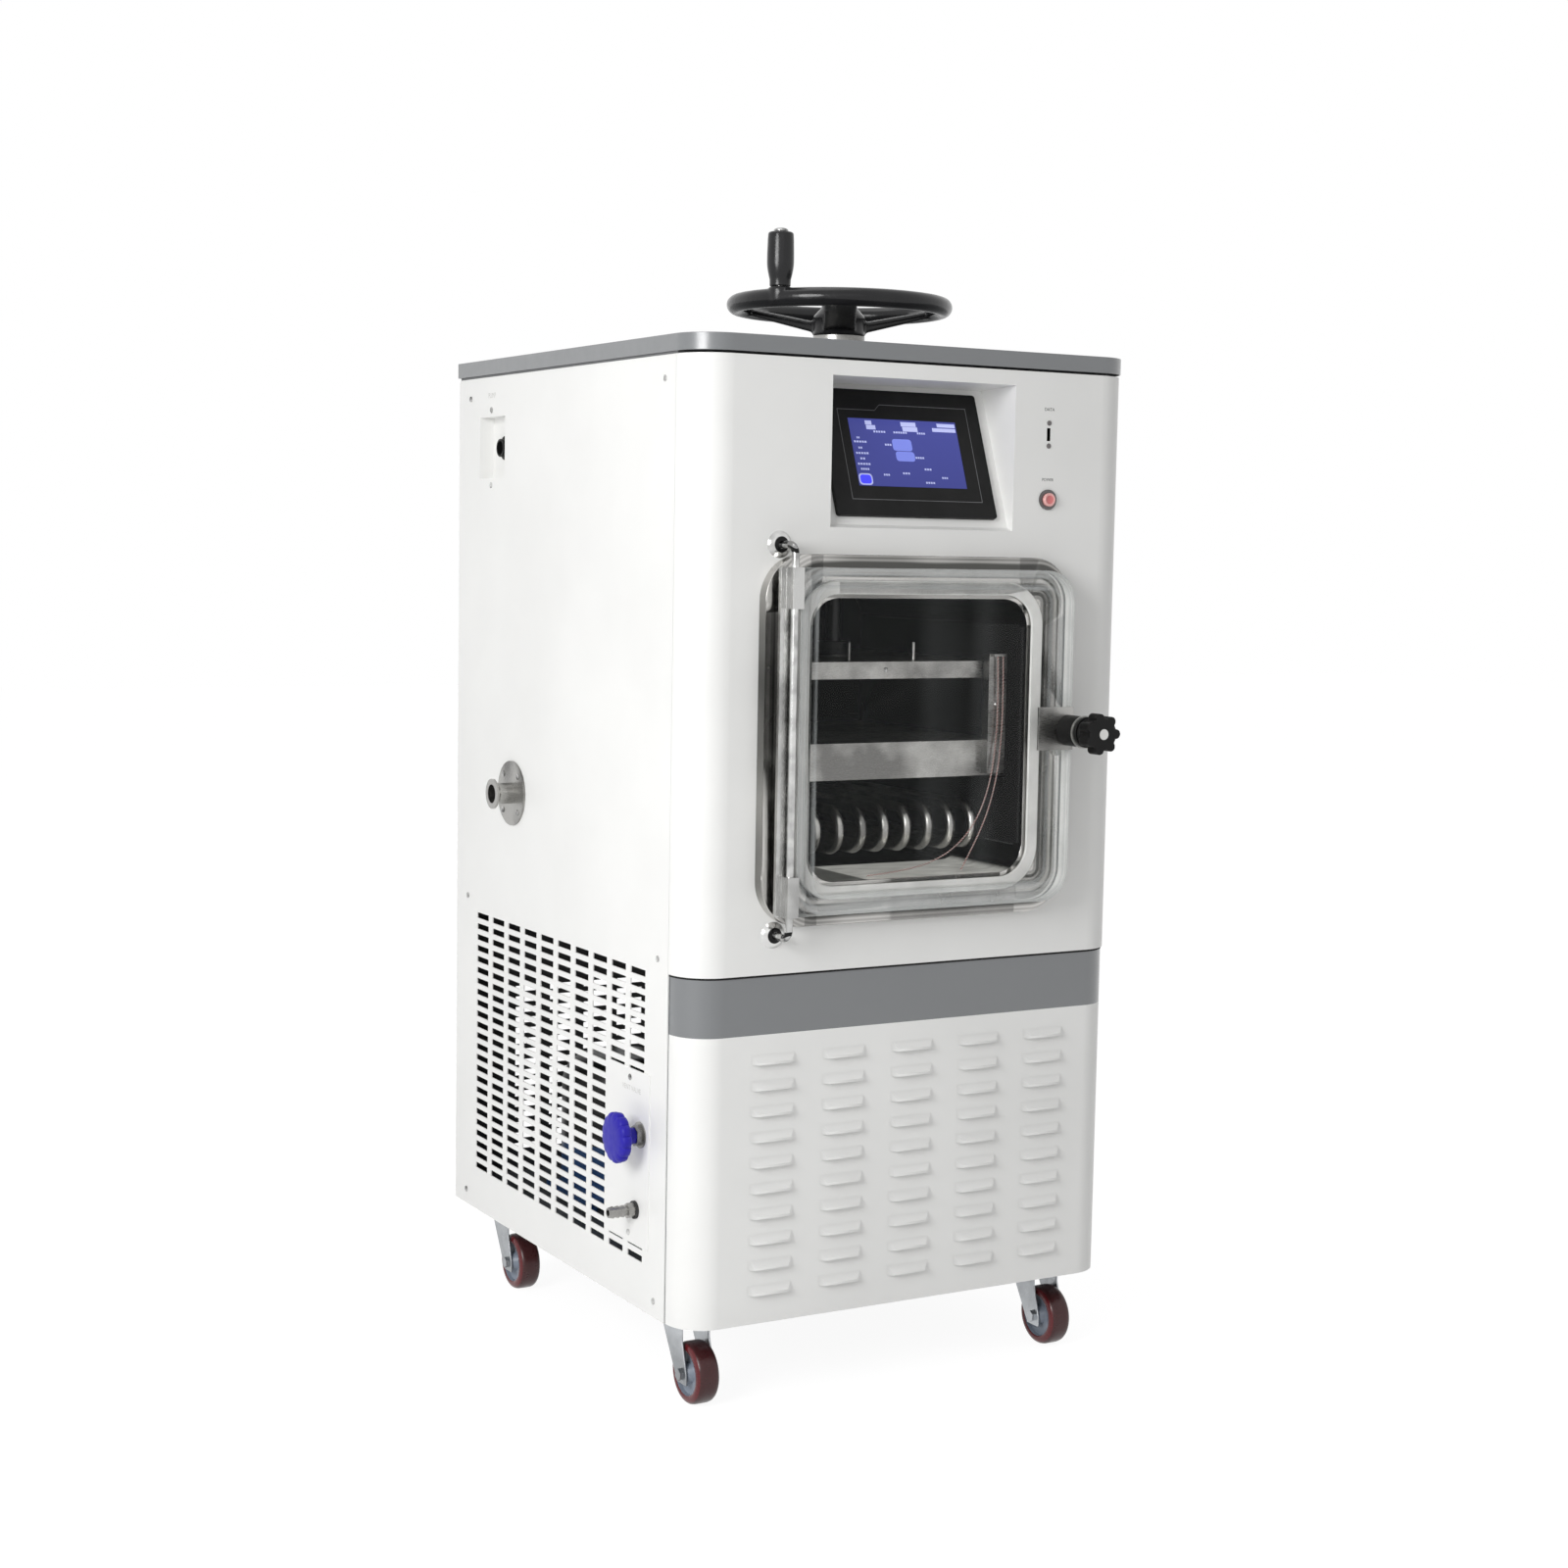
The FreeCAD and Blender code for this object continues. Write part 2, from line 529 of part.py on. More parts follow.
def chassis_cells(left, front, wide, deep):
    """The pan, and the flat strips of the angles on the sides, the faces and the top."""
    thick, leg, right, back = "angle_thick", "angle_leg", f"{left} + {wide}", f"{front} + {deep}"
    whole_x, whole_y, window_z = (left, right), (front, back), (leg, f"{CHASSIS_TOP} - {leg}")
    strips_z = [(thick, leg), (f"{CHASSIS_TOP} - {leg}", CHASSIS_TOP)]
    sides = [(left, f"{left} + {thick}"), (f"{right} - {thick}", right)]
    faces = [(front, f"{front} + {thick}"), (f"{back} - {thick}", back)]
    posts_y = [(front, f"{front} + {leg}"), (f"{back} - {leg}", back)]
    posts_x = [(f"{left} + {thick}", f"{left} + {leg}"), (f"{right} - {leg}", f"{right} - {thick}")]
    rims_y = [(f"{front} + {thick}", f"{front} + {leg}"), (f"{back} - {leg}", f"{back} - {thick}")]
    inside_x, window_y = (f"{left} + {thick}", f"{right} - {thick}"), (f"{front} + {leg}", f"{back} - {leg}")
    top = (f"{CHASSIS_TOP} - {thick}", CHASSIS_TOP)
    return (
        [(whole_x, whole_y, ("0", thick))]
        + [(x, whole_y, z) for x in sides for z in strips_z]
        + [(x, y, window_z) for x in sides for y in posts_y]
        + [(inside_x, y, z) for y in faces for z in strips_z]
        + [(x, y, window_z) for y in faces for x in posts_x]
        + [(inside_x, y, top) for y in rims_y]
        + [(x, window_y, top) for x in posts_x]
    )


# ---------------------------------------------------------------- cabinet skins
def side_panel(name, x):
    """A flat side sheet with its screw holes."""
    body = new_body(name, x=x)
    start = "front_wrap + seam_gap"
    add(body, "YZ", "0", "sheet_thick", rectangle(start, "0", f"body_depth - ({start})", PANEL_TOP))
    holes = [circle(y, z, "screw_hole") for y, z in side_screw_places()]
    remove(body, "YZ", "0", "sheet_thick", *holes)
    return body


def vent_grid(body, plane, start, end, first, across, step, up):
    """A grid of slots through a sheet that lies between two levels."""
    slot = remove(body, plane, start, end, rectangle(first, "vent_low", "vent_length", "vent_height"))
    repeat(body, [slot], slot.Profile[0], across, step, up, "vent_pitch_up")


def service_screw_places():
    return [("plate_screw_y", "plate_low + plate_screw_in"), ("plate_screw_y", "plate_high - plate_screw_in")]


def port_screw_places():
    return [(f"{PORT_Y} {a} port_screw_in", f"port_z {b} port_screw_in") for a in "+-" for b in "+-"]


def pocket_screw_places():
    level = "(pocket_tall / 2 + pocket_screw_end)"
    return [(f"{POCKET_Y} + pocket_screw_side", f"pocket_z {side} {level}") for side in "+-"]


def build_side_panels():
    vents = ("vent_front", "vent_columns", VENT_STEP, "vent_rows")
    right = side_panel("right_panel_body", "body_width - sheet_thick")
    vent_grid(right, "YZ", "0", "sheet_thick", *vents)
    keep(right, "right_side_panel")
    left = side_panel("left_panel_body", "0")
    low_corner = (f"{POCKET_Y} - pocket_wide / 2", "pocket_z - pocket_tall / 2")
    outer_corner = [f"{text} - sheet_thick" for text in low_corner]
    add(left, "YZ", "0", "pocket_deep + sheet_thick",
        rectangle(*outer_corner, "pocket_wide + 2 * sheet_thick", "pocket_tall + 2 * sheet_thick"))
    remove(left, "YZ", "0", "pocket_deep", rectangle(*low_corner, "pocket_wide", "pocket_tall"))
    window = rectangle("plate_front + plate_side", "plate_low + plate_end",
                       "plate_back - plate_front - 2 * plate_side", "plate_high - plate_low - 2 * plate_end")
    places = service_screw_places() + port_screw_places() + pocket_screw_places()
    holes = [circle(y, z, "screw_hole") for y, z in places]
    remove(left, "YZ", "0", "sheet_thick", window, circle(PORT_Y, "port_z", "port_hole"), *holes)
    hole = circle(POCKET_Y, "pocket_z", "pump_socket_radius")
    remove(left, "YZ", "pocket_deep", "pocket_deep + sheet_thick", hole)
    vent_grid(left, "YZ", "0", "sheet_thick", *vents)
    keep(left, "left_side_panel")


def build_rear_panel():
    body = new_body("rear_panel_body")
    level, back = "body_depth - sheet_thick", "body_depth"
    add(body, "XZ", level, back, rectangle("sheet_thick", "0", "body_width - 2 * sheet_thick", PANEL_TOP))
    opening = rectangle("inlet_x - inlet_wide / 2", "inlet_z - inlet_tall / 2", "inlet_wide", "inlet_tall")
    holes = [circle(x, z, "screw_hole") for x, z in rear_screw_places()]
    remove(body, "XZ", level, back, opening, *holes)
    vent_grid(body, "XZ", level, back, "rear_left", "rear_columns", "rear_step", "rear_rows")
    keep(body, "rear_panel")


def build_power_inlet():
    """A mains inlet: a lipped shroud pushed through the rear panel, open to the back."""
    left, low = "inlet_x - inlet_wide / 2", "inlet_z - inlet_tall / 2"
    lip_size = ("inlet_wide + 2 * inlet_lip", "inlet_lip_thick", "inlet_tall + 2 * inlet_lip")
    lip = box("inlet_lip_plate", f"{left} - inlet_lip", "body_depth", f"{low} - inlet_lip", *lip_size)
    shroud = box("inlet_shroud", left, "body_depth - inlet_deep", low, "inlet_wide", "inlet_deep", "inlet_tall")
    inside = box("inlet_inside", f"{left} + inlet_wall", "body_depth - inlet_deep + inlet_wall",
                 f"{low} + inlet_wall", "inlet_wide - 2 * inlet_wall", "inlet_deep",
                 "inlet_tall - 2 * inlet_wall")
    keep(cut("inlet_cut", fuse("inlet_solid", lip, shroud), inside), "power_inlet")


def build_top_cover():
    """A folded tray turned upside down, resting on the chassis, with round front corners."""
    body = new_body("top_cover_body")
    low, high = "-cover_over", "body_height + cover_thick"
    wide, deep = "body_width + 2 * cover_over", "body_depth + 2 * cover_over"
    inner = ("-cover_over + sheet_thick", "-cover_over + sheet_thick")
    skirt = rectangle(low, low, wide, deep)
    hollow = rectangle(*inner, f"{wide} - 2 * sheet_thick", f"{deep} - 2 * sheet_thick")
    add(body, "XY", "body_height", CHASSIS_TOP, skirt, hollow)
    far = "body_width + cover_over"
    radius = "corner_radius + cover_over"
    inner_far = f"{far} - sheet_thick"
    round_edges(body, f"{radius} - sheet_thick", upright_at(inner, (inner_far, inner[1])))
    add(body, "XY", CHASSIS_TOP, high, skirt)
    round_edges(body, radius, upright_at((low, low), (far, low)))
    remove(body, "XY", CHASSIS_TOP, high, circle("press_x", PRESS_Y, "collar_radius + collar_clear"))
    keep(body, "top_cover")


def wrap(inset):
    """The section of a sheet that goes round both front corners, set back by an inset."""
    def draw(sketch):
        turn, end = number("corner_radius"), number("front_wrap")
        far = number("body_width") - turn
        outer = turn - number(inset)
        inner = outer - number("sheet_thick")

        def line(x1, y1, x2, y2):
            return Part.LineSegment(Vector(x1, y1), Vector(x2, y2))

        def arc(x, radius, first, last):
            return Part.ArcOfCircle(Part.Circle(Vector(x, turn), Vector(0, 0, 1), radius), first, last)
        half, low, full = math.pi, 1.5 * math.pi, 2 * math.pi
        sketch.addGeometry([
            line(turn - outer, end, turn - outer, turn), arc(turn, outer, half, low),
            line(turn, turn - outer, far, turn - outer), arc(far, outer, low, full),
            line(far + outer, turn, far + outer, end), line(far + outer, end, far + inner, end),
            line(far + inner, end, far + inner, turn), arc(far, inner, low, full),
            line(far, turn - inner, turn, turn - inner), arc(turn, inner, half, low),
            line(turn - inner, turn, turn - inner, end), line(turn - inner, end, turn - outer, end),
        ])
        tangents = ((0, 2, 1, 1), (1, 2, 2, 1), (2, 2, 3, 1), (3, 2, 4, 1),
                    (6, 2, 7, 2), (7, 1, 8, 1), (8, 2, 9, 2), (9, 1, 10, 1))
        joints = ((4, 2, 5, 1), (5, 2, 6, 1), (10, 2, 11, 1), (11, 2, 0, 1), (1, 3, 9, 3), (3, 3, 7, 3))
        for kind, places in (("Tangent", tangents), ("Coincident", joints)):
            for at in places:
                sketch.addConstraint(Sketcher.Constraint(kind, *at))
        for kind, curves in (("Vertical", (0, 4, 6, 10)), ("Horizontal", (2, 5, 8, 11))):
            for curve in curves:
                sketch.addConstraint(Sketcher.Constraint(kind, curve))
        outside = f"corner_radius - {inset}"
        for curve, text in ((1, outside), (9, f"{outside} - sheet_thick")):
            index = sketch.addConstraint(Sketcher.Constraint("Radius", curve, number(text)))
            sketch.setExpression(f"Constraints[{index}]", formula(text))
        fix_point(sketch, 1, 3, "corner_radius", "corner_radius")
        fix_point(sketch, 3, 3, "body_width - corner_radius", "corner_radius")
        for curve, spot in ((0, 1), (4, 2)):
            index = sketch.addConstraint(Sketcher.Constraint("DistanceY", -1, 1, curve, spot, end))
            sketch.setExpression(f"Constraints[{index}]", formula("front_wrap"))
    return draw


def wrapped_shell(name, low, high, inset):
    """A front sheet that goes round both front corners."""
    body = new_body(name)
    add(body, "XY", low, high, wrap(inset))
    return body


SLOPE_LONG = "(bezel_above + bezel_tall + slope_spare)"
SLOPE_BACK = f"slope_front + {SLOPE_LONG} * sin(slope_tilt * 1 deg)"
SLOPE_TOP = f"recess_low + slope_rise + {SLOPE_LONG} * cos(slope_tilt * 1 deg)"
BACK_SIZE = ("(bezel_wide - 2 * back_side)", "(bezel_tall - 2 * back_end)")


def build_front_upper_panel():
    """The white front: screen recess folded into it, chamber opening, small round holes."""
    body = wrapped_shell("front_upper_body", "band_high", PANEL_TOP, "0")
    skin = "sheet_thick"
    recess_high = f"{SLOPE_TOP} + recess_brow"
    add(body, "YZ", f"{RECESS_LEFT} - {skin}", f"{RECESS_RIGHT} + {skin}", outline(
        ("0", f"recess_low - {skin}"), (f"slope_front + {skin}", f"recess_low + slope_rise - {skin}"),
        (f"{SLOPE_BACK} + {skin}", f"{SLOPE_TOP} + {skin}"), ("0", f"{recess_high} + {skin}")))
    remove(body, "YZ", RECESS_LEFT, RECESS_RIGHT, outline(
        ("-1", "recess_low"), ("slope_front", "recess_low + slope_rise"),
        (SLOPE_BACK, SLOPE_TOP), ("-1", recess_high)))
    outer_wide, outer_tall = "chamber_wide + 2 * chamber_wall", "chamber_tall + 2 * chamber_wall"
    opening = rounded(
        f"chamber_x - ({outer_wide}) / 2 - chamber_clear", f"chamber_z - ({outer_tall}) / 2 - chamber_clear",
        f"{outer_wide} + 2 * chamber_clear", f"{outer_tall} + 2 * chamber_clear",
        "(chamber_round + chamber_wall + chamber_clear)")
    holes = [circle(ROD_X, z, "rod_radius + rod_fit") for z in (ROD_LOW, ROD_HIGH)]
    holes.append(circle("socket_x", "button_z", "button_hole"))
    screws = [circle("socket_x", f"socket_z {side} socket_screw", "screw_hole") for side in "+-"]
    socket = rectangle("socket_x - slot_wide / 2", "socket_z - slot_tall / 2", "slot_wide", "slot_tall")
    remove(body, "XZ", "0", skin, opening, socket, *holes, *screws)
    cutter = screen_frame("screen_cutter")
    clear = "back_clear"
    add(cutter, "XZ", "-1", "back_deep", rectangle(
        f"back_side - {clear}", f"bezel_above + back_end - {clear}",
        f"{BACK_SIZE[0]} + 2 * {clear}", f"{BACK_SIZE[1]} + 2 * {clear}"))
    keep(cut("front_upper_cut", body, cutter), "front_upper_panel")


def louvre(body):
    """One pressed hood, closed at the top and the ends, and the slot behind it."""
    outer, inner = "lower_inset", "lower_inset + sheet_thick"
    out, crest = "lower_inset - louvre_out", "louvre_low + louvre_tall"
    hood = add(body, "YZ", "louvre_left", "louvre_left + louvre_width", outline(
        (inner, "louvre_low"), (out, "louvre_low"), (out, "louvre_low + louvre_lip"),
        (outer, crest), (inner, crest)))
    hollow = remove(body, "YZ", "louvre_left + sheet_thick", "louvre_left + louvre_width - sheet_thick", outline(
        (f"{inner} + louvre_slack", "louvre_low"), (f"{out} + sheet_thick", "louvre_low"),
        (f"{out} + sheet_thick", "louvre_low + louvre_lip - louvre_slack"),
        (outer, f"{crest} - 1.5 * sheet_thick"), (f"{inner} + louvre_slack", f"{crest} - 1.5 * sheet_thick")))
    return [hood, hollow]


def build_lower_front():
    keep(wrapped_shell("band_body", "band_low", "band_high", "lower_inset"), "grey_band")
    body = wrapped_shell("front_lower_body", "0", "band_low", "lower_inset")
    pair = louvre(body)
    guide = sketch_on(body, "XZ", "0")
    circle("1", "1", "0.5")(guide)
    guide.Visibility = False
    repeat(body, pair, guide, "louvre_columns", LOUVRE_STEP, "louvre_rows", "louvre_pitch_up")
    keep(body, "front_lower_panel")


# ---------------------------------------------------------------- screen, socket, button
def screen_frame(name):
    """A body whose own x-z plane is the slope at the back of the recess."""
    lean = Rotation(Vector(1, 0, 0), -number("slope_tilt"))
    left = "recess_x - bezel_wide / 2"
    return new_body(name, left, "slope_front", "recess_low + slope_rise", lean)


def build_screen():
    glass = ("(bezel_wide - glass_wide) / 2", "bezel_above + (bezel_tall - glass_tall) / 2",
             "glass_wide", "glass_tall")
    body = screen_frame("screen_body")
    add(body, "XZ", "-bezel_thick", "0", rounded("0", "bezel_above", "bezel_wide", "bezel_tall", "bezel_round"))
    add(body, "XZ", "0", "back_deep", rectangle("back_side", "bezel_above + back_end", *BACK_SIZE))
    remove(body, "XZ", "-bezel_thick", "-bezel_thick + glass_thick", rectangle(*glass))
    keep(body, "screen_housing")
    pane = screen_frame("screen_pane")
    add(pane, "XZ", "-bezel_thick", "-bezel_thick + glass_thick", rectangle(*glass))
    keep(pane, "screen_glass")


def build_data_socket():
    """A data socket behind the front skin: a flange with two screw holes and an open shell."""
    body = new_body("data_socket_body", "socket_x", "0", "socket_z")
    back = "sheet_thick"
    outer = ("(slot_wide + 2 * socket_wall)", "(slot_tall + 2 * socket_wall)")
    flange = ("-socket_flange_wide / 2", "-socket_flange_tall / 2", "socket_flange_wide", "socket_flange_tall")
    add(body, "XZ", back, f"{back} + socket_flange_thick", rectangle(*flange))
    add(body, "XZ", back, f"{back} + socket_deep", rectangle(f"-{outer[0]} / 2", f"-{outer[1]} / 2", *outer))
    inside = rectangle("-slot_wide / 2", "-slot_tall / 2", "slot_wide", "slot_tall")
    remove(body, "XZ", back, f"{back} + socket_deep - socket_floor", inside)
    holes = [circle("0", f"{side}socket_screw", "screw_hole") for side in "+-"]
    remove(body, "XZ", back, f"{back} + socket_flange_thick", *holes)
    keep(body, "data_socket")


def build_button():
    """A push button: a ring through the front panel, and a cap that slides in it."""
    ring = new_body("button_ring_body", "socket_x", "0", "button_z")
    add(ring, "XZ", "-button_ring_thick", "0", circle("0", "0", "button_hole + button_lip"))
    add(ring, "XZ", "0", "button_deep", circle("0", "0", "button_hole - button_slip"))
    bore = circle("0", "0", "button_radius + button_fit")
    remove(ring, "XZ", "-button_ring_thick", "button_deep - button_floor", bore)
    keep(ring, "button_bezel")
    cap = new_body("button_cap_body", "socket_x", "0", "button_z")
    add(cap, "XZ", "-button_ring_thick - button_out", "button_deep - button_floor - 2 * button_travel",
        circle("0", "0", "button_radius"))
    keep(cap, "button_cap")


# ---------------------------------------------------------------- left side fittings
def build_service_plate():
    body = new_body("service_plate_body")
    add(body, "YZ", "-sheet_thick", "0", rectangle(
        "plate_front", "plate_low", "plate_back - plate_front", "plate_high - plate_low"))
    holes = [circle(y, z, "screw_hole") for y, z in service_screw_places()]
    holes.append(circle("valve_y", "valve_z", "valve_neck + valve_fit"))
    holes.append(circle("drain_y", "drain_z", "drain_radius + valve_fit"))
    remove(body, "YZ", "-sheet_thick", "0", *holes)
    keep(body, "service_plate")


def build_valve():
    """The bleed valve behind the service plate, its nut and washer, and its blue hand knob."""
    y, z = "valve_y", "valve_z"
    face = "-sheet_thick"
    washer = cylinder("valve_washer_disc", "-x", "valve_washer", "valve_washer_thick", face, y, z)
    nut = hexagon("valve_nut_hex", "-x", "valve_nut", "valve_nut_thick", face, y, z)
    neck = cylinder("valve_neck_rod", "x", "valve_neck", "valve_neck_long", face, y, z)
    inside = cylinder("valve_body_rod", "x", "valve_body", "valve_body_long", "valve_body_back", y, z)
    solid = fuse("valve_solid", washer, nut, neck, inside)
    bore = cylinder("valve_bore", "x", "valve_stem + valve_fit", "valve_nut_thick + valve_body_long / 2",
                    f"{face} - valve_nut_thick", y, z)
    keep(cut("valve_cut", solid, bore), "valve_body")
    knob = new_body("valve_knob_body", "0", y, z)
    back = f"{face} - valve_nut_thick - knob_gap"
    front = f"{back} - knob_thick"
    add(knob, "YZ", front, back, circle("0", "0", "knob_radius"))
    lobe = add(knob, "YZ", front, back, circle("knob_radius", "0", "knob_lobe"))
    around(knob, [lobe], "knob_lobes")
    add(knob, "YZ", back, f"{face} - valve_nut_thick - knob_clear", circle("0", "0", "knob_neck"))
    add(knob, "YZ", back, "0", circle("0", "0", "valve_stem"))
    keep(knob, "valve_knob")


def around(body, originals, count, axis=None):
    """Copies features evenly about an axis of the body, or the axis through the first one's sketch origin."""
    ring = body.newObject("PartDesign::PolarPattern", f"{body.Name}_ring")
    ring.Originals = originals
    ring.Axis = (axis, [""]) if axis else (originals[0].Profile[0], ["N_Axis"])
    ring.Angle = 360
    bind(ring, Occurrences=count)
    body.Tip = ring
    return ring


def build_drain():
    """A stainless hose barb through a dark grommet in the service plate."""
    y, z = "drain_y", "drain_z"
    start = "-sheet_thick - drain_out"
    rod = cylinder("drain_rod", "x", "drain_radius", "drain_out + drain_in", start, y, z)
    parts = [rod]
    for k in range(int(number("drain_barbs"))):
        at = f"{start} + {k} * drain_barb_step"
        parts.append(cone(f"drain_barb_{k}", "x", "drain_radius", "drain_barb", "drain_barb_step - 1", at, y, z))
    nut = hexagon("drain_nut_hex", "-x", "drain_nut", "drain_nut_long", "-sheet_thick - grommet_thick", y, z)
    solid = fuse("drain_solid", *parts, nut)
    bore = cylinder("drain_hollow", "x", "drain_bore", "drain_out + drain_in", start, y, z)
    keep(cut("drain_cut", solid, bore), "drain_barb")
    ring = cylinder("grommet_ring", "-x", "grommet_radius", "grommet_thick", "-sheet_thick", y, z)
    hole = cylinder("grommet_hole", "-x", "drain_radius + valve_fit", "grommet_thick", "-sheet_thick", y, z)
    keep(cut("grommet_cut", ring, hole), "drain_grommet")


def build_pump_socket():
    """A round panel socket standing in the recess."""
    y, z = POCKET_Y, "pocket_z"
    rim, floor = "pump_socket_radius", "pocket_deep"
    flange = cylinder("pump_socket_flange", "-x", f"{rim} + pump_lip", "pump_lip_thick", floor, y, z)
    front = cylinder("pump_socket_front", "-x", rim, "pump_socket_out", floor, y, z)
    back = cylinder("pump_socket_back", "x", f"{rim} - pump_clear", "pump_socket_in", floor, y, z)
    solid = fuse("pump_socket_solid", flange, front, back)
    hollow = cylinder("pump_socket_hollow", "x", f"{rim} - pump_wall", "pump_socket_out + pump_well",
                      f"{floor} - pump_socket_out", y, z)
    keep(cut("pump_socket_cut", solid, hollow), "pump_socket")


def build_vacuum_port():
    """The pumping line: a small flange outside, a screwed plate, and a bent tube to the chamber."""
    y, z = PORT_Y, "port_z"
    corner = point("port_turn", y, z)
    tip = point("-port_out", y, z)
    end = point("port_turn", "chamber_deep + chamber_wall", z)
    wire, _ = path_of([tip, corner, end], number("port_bend"))
    pipe = feature("port_pipe", tube_along(wire, number("port_tube")))
    hollow = feature("port_hollow", tube_along(wire, number("port_bore")))
    lip = cylinder("port_lip_ring", "x", "port_flange", "port_lip", "-port_out", y, z)
    taper = cone("port_taper_ring", "x", "port_flange", "port_tube", "port_taper", "-port_out + port_lip", y, z)
    plate = cylinder("port_plate_disc", "-x", "port_plate_radius", "port_plate_thick", "0", y, z)
    solid = fuse("port_solid", pipe, lip, taper, plate)
    holes = [
        cylinder(f"port_screw_{k}", "-x", "screw_hole", "port_plate_thick", "0", a, b)
        for k, (a, b) in enumerate(port_screw_places())
    ]
    keep(cut("port_cut", solid, hollow, *holes), "vacuum_port")


def screw(place_at, outward):
    """A pan-head screw whose head stands on the surface."""
    head_radius, tall = number("screw_head"), number("screw_head_tall")
    rim = Part.makeCylinder(head_radius, tall / 2, place_at, outward)
    crown = Part.makeCone(head_radius, number("screw_crown"), tall / 2, place_at + outward * tall / 2, outward)
    shank = Part.makeCylinder(number("screw_shank"), number("screw_long"), place_at, -outward)
    return rim.fuse([crown, shank])


def build_panel_screws():
    left, right, back, front = Vector(-1, 0, 0), Vector(1, 0, 0), Vector(0, 1, 0), Vector(0, -1, 0)
    screws = []
    for y, z in side_screw_places():
        screws.append(screw(point("0", y, z), left))
        screws.append(screw(point("body_width", y, z), right))
    screws += [screw(point(x, "body_depth", z), back) for x, z in rear_screw_places()]
    screws += [screw(point("-sheet_thick", y, z), left) for y, z in service_screw_places()]
    screws += [screw(point("-port_plate_thick", y, z), left) for y, z in port_screw_places()]
    screws += [screw(point("0", y, z), left) for y, z in pocket_screw_places()]
    for side in "+-":
        screws.append(screw(point("socket_x", "0", f"socket_z {side} socket_screw"), front))
    keep(feature("screw_set", Part.makeCompound(screws)), "panel_screws")


# ---------------------------------------------------------------- chamber
def build_chamber():
    """The welded vacuum box: flange, five walls, shelf rails, and the keeper for the latch."""
    body = new_body("chamber_body")
    wall = "chamber_wall"

    def ring(wide, tall, radius):
        return rounded(f"chamber_x - ({wide}) / 2", f"chamber_z - ({tall}) / 2", wide, tall, radius)
    outer = ring(f"(chamber_wide + 2 * {wall})", f"(chamber_tall + 2 * {wall})", f"(chamber_round + {wall})")
    add(body, "XZ", "-flange_thick", "0", ring(FLANGE_WIDE, FLANGE_TALL, "flange_round"))
    add(body, "XZ", "0", f"chamber_deep + {wall}", outer)
    remove(body, "XZ", "-flange_thick", "chamber_deep", ring("chamber_wide", "chamber_tall", "chamber_round"))
    rail_low = "shelf_low - rail_thick"
    rail_right = "chamber_x + chamber_wide / 2 - rail_wide"
    add(body, "XZ", "rail_front", "chamber_deep",
        rectangle(CHAMBER_LEFT, rail_low, "rail_wide", "rail_thick"),
        rectangle(rail_right, rail_low, "rail_wide", "rail_thick"))
    remove(body, "XZ", "chamber_deep", f"chamber_deep + {wall}", circle("port_turn", "port_z", "port_bore"))
    rod_hole = cylinder("chamber_rod_hole", "z", "screw_rod + screw_fit", f"3 * {wall}",
                        "press_x", PRESS_Y, f"{CHAMBER_TOP} - 2 * {wall}")
    left = f"chamber_x + {FLANGE_WIDE} / 2"
    low, high = f"{LATCH_Z} - keeper_tall", f"{LATCH_Z} + tongue_wide / 2 + keeper_gap"
    lip_back = f"-({DOOR_BACK}) - tongue_gap"
    foot = box("keeper_foot_block", left, "-flange_thick", low,
               "keeper_side + keeper_wide", "keeper_foot", f"({high}) - ({low}) + keeper_thick")
    web = box("keeper_web", f"{left} + keeper_side", lip_back, high, "keeper_wide",
              f"-flange_thick - ({lip_back})", "keeper_thick")
    lip = box("keeper_lip", f"{left} + keeper_side", f"{lip_back} - keeper_thick", low,
              "keeper_wide", "keeper_thick", f"({high}) - ({low}) + keeper_thick")
    keep_divided(cut("chamber_cut", body, rod_hole), "vacuum_chamber", chamber_cells(), foot, web, lip)


def chamber_cells():
    """Flat walls and flange bars, three narrow strips round each corner, the rails and the back."""
    def about(middle, *offsets):
        return [f"{middle} {offset}" for offset in offsets]
    edge_x, edge_z = "(chamber_wide / 2)", "(chamber_tall / 2)"
    flat_x, flat_z = f"({edge_x} - chamber_round)", f"({edge_z} - chamber_round)"
    far_x, far_z = f"({edge_x} + flange_side + chamber_wall)", f"({edge_z} + flange_end + chamber_wall)"
    third, two_thirds = (f"({flat_x} + chamber_round * cos({turn} deg))" for turn in CORNER_TURNS)
    x = about("chamber_x", f"- {far_x}", f"- {third}", f"- {two_thirds}", f"- {flat_x}",
              f"+ {flat_x}", f"+ {two_thirds}", f"+ {third}", f"+ {far_x}")
    columns = list(zip(x, x[1:]))
    below, lower, upper, above = about("chamber_z", f"- {far_z}", f"- {flat_z}", f"+ {flat_z}", f"+ {far_z}")
    inner_left, inner_right = about("chamber_x", f"- {edge_x}", f"+ {edge_x}")
    walls = [(x[0], inner_left), (inner_right, x[-1])]
    rails = [(inner_left, x[3]), (x[4], inner_right)]
    flange, shell = ("-flange_thick", "0"), ("0", "chamber_deep")
    cells = [(column, y, row) for y in (flange, shell) for row in ((below, lower), (upper, above))
             for column in columns]
    cells += [(wall, y, (lower, upper)) for y in (flange, shell) for wall in walls]
    cells += [(rail, shell, (lower, upper)) for rail in rails]
    back = ("chamber_deep", "chamber_deep + chamber_wall")
    return cells + [((x[0], x[-1]), back, (below, above))]


